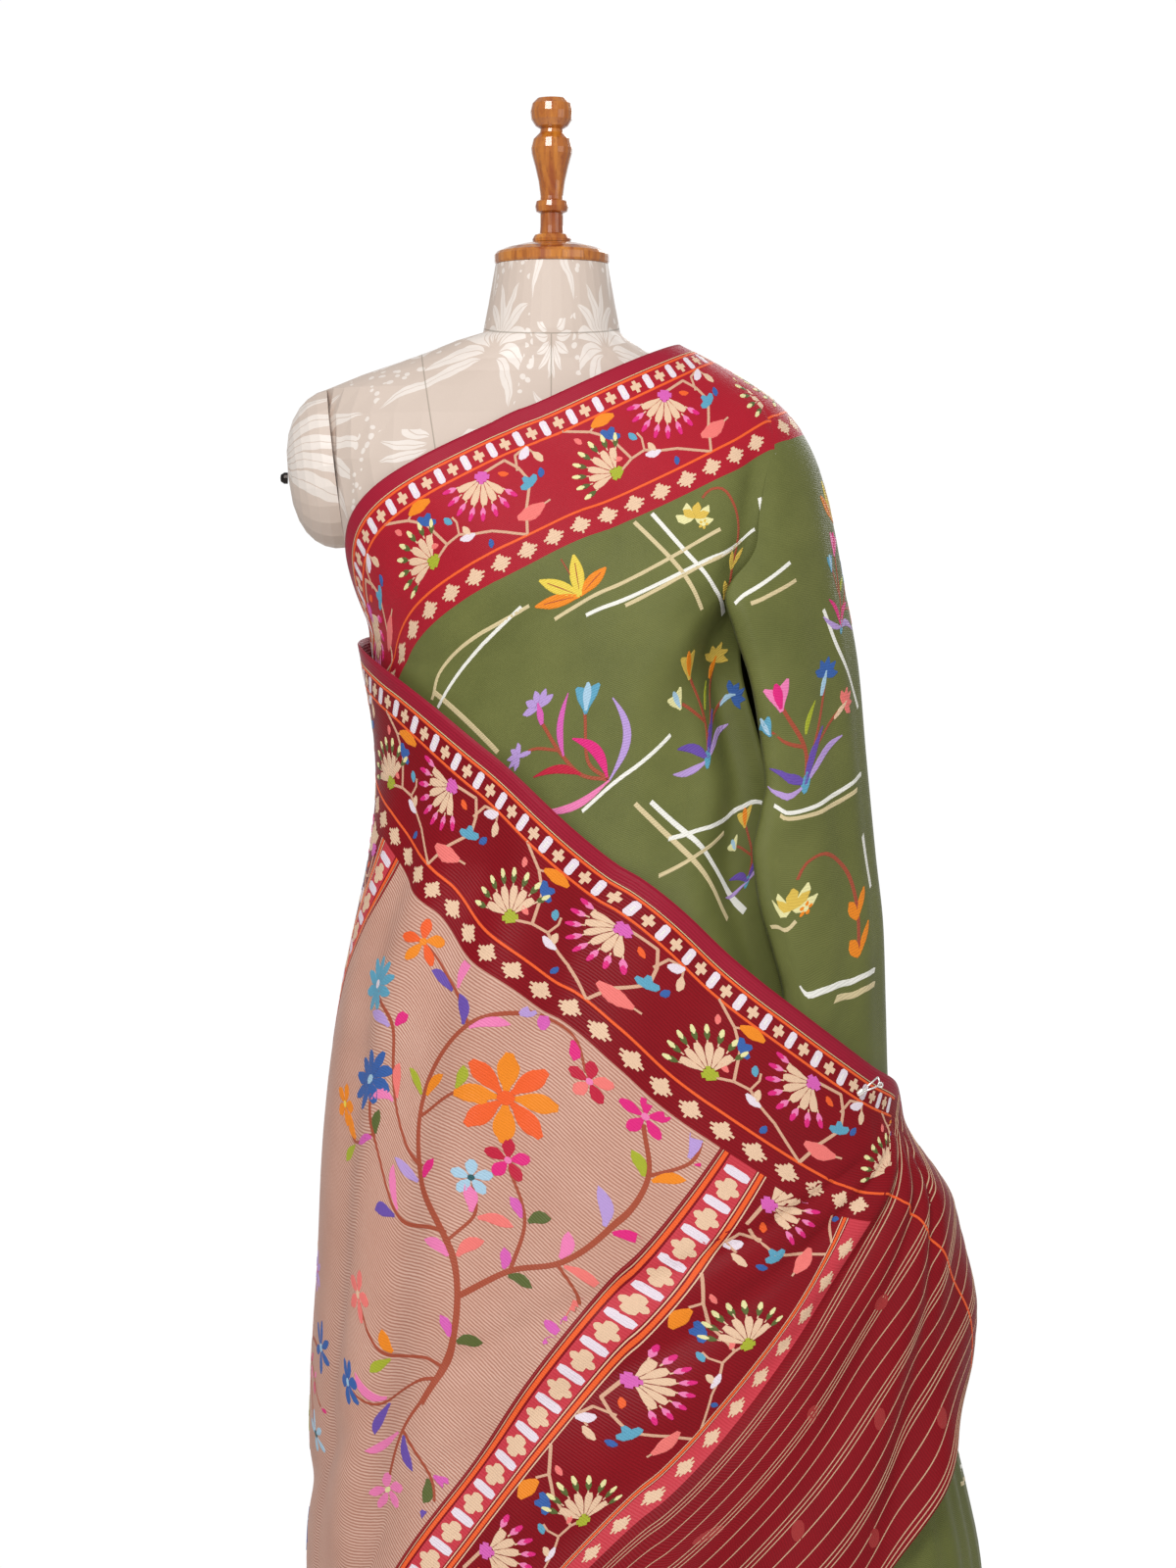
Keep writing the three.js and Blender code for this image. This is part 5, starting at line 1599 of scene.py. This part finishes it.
def damask_material(name, ground, shade, figure_colour, seam_colour="8E8272"):
    material, tree, shader = new_material(name)
    spot = put(tree, "ShaderNodeTexCoord", output="Object")
    warp = put(tree, "ShaderNodeTexNoise", {"Vector": spot, "Scale": 30.0, "Detail": 2.0}, output="Color")
    warp = put(tree, "ShaderNodeVectorMath", {0: warp, 1: (0.5, 0.5, 0.5)}, operation="SUBTRACT")
    warp = put(tree, "ShaderNodeVectorMath", {0: warp, "Scale": 0.012}, operation="SCALE")
    warped = put(tree, "ShaderNodeVectorMath", {0: spot, 1: warp}, operation="ADD")
    side, back_to_front, up = split(tree, warped)
    plain_side, plain_depth, plain_up = split(tree, spot)
    angle = sums(tree, "ARCTAN2", side, product(tree, back_to_front, -1.0))
    column = sums(tree, "ADD", sums(tree, "DIVIDE", product(tree, angle, DAMASK_RADIUS), REPEAT_WIDTH), 0.5)
    half_drop = product(tree, sums(tree, "FLOOR", column), 0.5)
    row = sums(tree, "ADD", sums(tree, "DIVIDE", up, REPEAT_HEIGHT), half_drop)
    x, y = repeated(tree, column, REPEAT_WIDTH), repeated(tree, row, REPEAT_HEIGHT)
    large, large_reach = frond_fan(tree, x, y, -0.3, 0.72, 0.075)
    small, small_reach = frond_fan(tree, x, y, 0.86, 0.42, 0.05, -1.0)
    cells = put(tree, "ShaderNodeTexVoronoi", {"Vector": warped, "Scale": 120.0})
    dots = product(tree, sums(tree, "LESS_THAN", cells, DOT_SIZE), sums(tree, "GREATER_THAN", large_reach, 0.78),
                   sums(tree, "GREATER_THAN", small_reach, 0.46))
    figure = greatest(tree, large, small, dots)
    neck_seam = sums(tree, "MULTIPLY_ADD", plain_depth, NECK_SEAM_TILT, NECK_SEAM_HEIGHT)
    under_neck = sums(tree, "SUBTRACT", neck_seam, plain_up)
    side_line = sums(tree, "SUBTRACT", sums(tree, "ABSOLUTE", plain_side),
                     sums(tree, "MULTIPLY_ADD", plain_up, SIDE_SEAM_LEAN, SIDE_SEAM_START))
    upright = product(
        tree, greatest(tree, thin_line(tree, plain_side), thin_line(tree, side_line)),
        sums(tree, "LESS_THAN", plain_depth, 0.0), sums(tree, "GREATER_THAN", under_neck, 0.0),
    )
    seam = greatest(tree, thin_line(tree, under_neck), upright)
    colour = blend(tree, noise(tree, spot, 7.0, 3.0), ground, shade)
    colour = blend(tree, figure, colour, figure_colour)
    grain = product(tree, noise(tree, spot, 900.0, 2.0), 0.6)
    raised = sums(tree, "SUBTRACT", sums(tree, "MULTIPLY_ADD", figure, 0.5, grain), seam)
    fill(tree, shader, {
        "Base Color": blend(tree, product(tree, seam, 0.6), colour, seam_colour), "Sheen Weight": 0.1,
        "Roughness": spread(tree, figure, 0.6, 0.42), "Normal": bump(tree, 0.3, 0.0006, raised),
    })
    return material


def dress(material, *node_names):
    for node_name in node_names:
        piece = bpy.data.objects[node_name]
        for slot in piece.material_slots:
            slot.material = material
        if not piece.material_slots:
            piece.data.materials.append(material)


damask = damask_material("ivory_damask", "D8C6B9", "CDBBAD", "EADFD6")
dress(damask, "form_torso", "form_arm_right", "form_arm_left")
print("damask on the form and its arm caps")

# %% [markdown]
# The neck disc, finial, pole and base are turned from hardwood, stained amber and varnished. Long streaks
# of noise, stretched along the turning axis, give the grain, and a clear coat gives the gloss.

# %% Varnished wood and the small metal parts
def wood_material(name):
    material, tree, shader = new_material(name)
    spot = put(tree, "ShaderNodeTexCoord", output="Object")
    long = put(tree, "ShaderNodeMapping", {"Vector": spot, "Scale": (1.0, 1.0, 0.12)})
    streak, fine = noise(tree, long, 70.0, 6.0, Distortion=1.2), noise(tree, long, 420.0, 3.0)
    pores = product(tree, sums(tree, "LESS_THAN", fine, 0.4), 0.35)
    colour = blend(tree, spread(tree, streak, 0.0, 1.0, 0.32, 0.68), "96440C", "D4862C")
    fill(tree, shader, {
        "Base Color": blend(tree, pores, colour, "7A340A"), "Roughness": spread(tree, fine, 0.24, 0.4),
        "Normal": bump(tree, 0.12, 0.0004, streak), "Coat Weight": 0.7, "Coat Roughness": 0.08,
    })
    return material


def metal_material(name, code, low, high):
    material, tree, shader = new_material(name)
    wear = noise(tree, put(tree, "ShaderNodeTexCoord", output="Object"), 400.0, 3.0)
    fill(tree, shader, {"Base Color": linear(code), "Metallic": 1.0, "Roughness": spread(tree, wear, low, high)})
    return material


pin_metal = metal_material("pale_pin_steel", "F6F4F0", 0.25, 0.4)
dress(wood_material("amber_varnished_wood"), "neck_disc", "finial", "pole", "stand_base")
dress(metal_material("dark_knob_metal", "3A3634", 0.3, 0.5), "arm_knob")
dress(pin_metal, "hip_pin")
print("wood and metal are on")

# %% [markdown]
# The safety pin is made of bent wire: a round head that holds the point, two wires that part a little, and
# a coil at the far end. It is placed on the border, across the edge of the pallu.

# %% The safety pin
WIRE_RADIUS = 0.0008
COIL_RADIUS = 0.0019
PIN_LIFT = 0.003
PIN_HEAD_PIXEL = (876, 1116)


def rod(start, end, radius):
    bpy.ops.mesh.primitive_cylinder_add(vertices=14, radius=radius, depth=(end - start).length,
                                        location=(start + end) / 2)
    piece = bpy.context.object
    piece.rotation_euler = (end - start).to_track_quat("Z", "Y").to_euler()
    return piece


at, _, _, _ = pallu["solid_tree"].ray_cast(camera_spot, seen_at(*PIN_HEAD_PIXEL))
head = at + Vector((0, -PIN_LIFT, 0))
upper_end, lower_end = head + Vector((0.0165, 0.0005, 0.0145)), head + Vector((0.0185, 0.001, 0.0075))
wires = [rod(*ends, WIRE_RADIUS) for ends in ((head, upper_end), (head, lower_end), (upper_end, lower_end))]
cap = rod(head + (head - upper_end) * 0.08, head + (upper_end - head) * 0.25, WIRE_RADIUS * 3.4)
rounding = cap.modifiers.new("rounding", "BEVEL")
rounding.width = WIRE_RADIUS * 1.5
rounding.segments = 3
bpy.ops.object.modifier_apply(modifier="rounding")
bpy.ops.mesh.primitive_torus_add(location=lower_end, major_radius=COIL_RADIUS, minor_radius=WIRE_RADIUS,
                                 major_segments=24, minor_segments=10, rotation=(math.radians(90), 0, 0))
select_only(*wires, bpy.context.object, cap)
bpy.ops.object.join()
bpy.ops.object.transform_apply(location=True, rotation=True, scale=True)
bpy.ops.object.shade_smooth()
safety_pin = bpy.context.object
safety_pin.name = "safety_pin"
safety_pin.data.materials.append(pin_metal)
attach(safety_pin, "root")
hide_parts("hip_pin")
print("the pin has", len(safety_pin.data.polygons), "faces")

# %% [markdown]
# The studio is plain: a pale floor that ends behind the form, a white surround, and large soft lights. Their
# size makes the folds shade softly, as silk does in front of a big diffuser.

# %% Floor, surround and lights
BACKDROP_LEVEL = 1.02
ROOM_LEVEL = 0.42
CHEST_SPOT = (0.0, 0.0, 1.1)
bpy.ops.mesh.primitive_plane_add(size=5.0, location=(0, 0, -0.001))
floor = bpy.context.object
floor.name = "pale_floor"
floor_paint, tree, shader = new_material("pale_floor_paint")
speck = put(tree, "ShaderNodeTexNoise", {"Scale": 30.0, "Detail": 3.0})
fill(tree, shader, {"Base Color": blend(tree, speck, "EDEBE8", "F5F4F2"), "Roughness": 0.6})
floor.data.materials.append(floor_paint)

world = bpy.context.scene.world or bpy.data.worlds.new("studio")
bpy.context.scene.world = world
world.use_nodes = True
sky = world.node_tree
direction = split(sky, put(sky, "ShaderNodeTexCoord", output="Generated"))
level = spread(sky, direction[1], ROOM_LEVEL, BACKDROP_LEVEL, 0.86, 0.96)
fill(sky, sky.nodes["Background"].inputs, {"Color": (1.0, 1.0, 1.0, 1.0), "Strength": level})
bpy.context.scene.view_settings.view_transform = "Standard"


def soft_light(name, place, size, power):
    bpy.ops.object.light_add(type="AREA", location=place)
    lamp = bpy.context.object
    lamp.name = name
    lamp.data.shape = "RECTANGLE"
    lamp.data.size, lamp.data.size_y = size
    lamp.data.energy = power
    lamp.rotation_euler = (Vector(CHEST_SPOT) - Vector(place)).to_track_quat("-Z", "Y").to_euler()


soft_light("key_softbox", (-0.7, -3.4, 3.4), (1.3, 1.3), 105)
soft_light("fill_softbox", (2.6, -2.6, 1.9), (1.6, 2.2), 16)
soft_light("rim_softbox", (1.2, 2.6, 2.6), (1.4, 1.4), 22)
print("three soft lights")

# %% Sizes of the sheets, and the end
for name, entry in stretches.items():
    width = float(np.median(entry["away"][-1]))
    flat = (round(width, 2), round(entry["area"] / width, 2))
    print(name, "was cut", *flat)
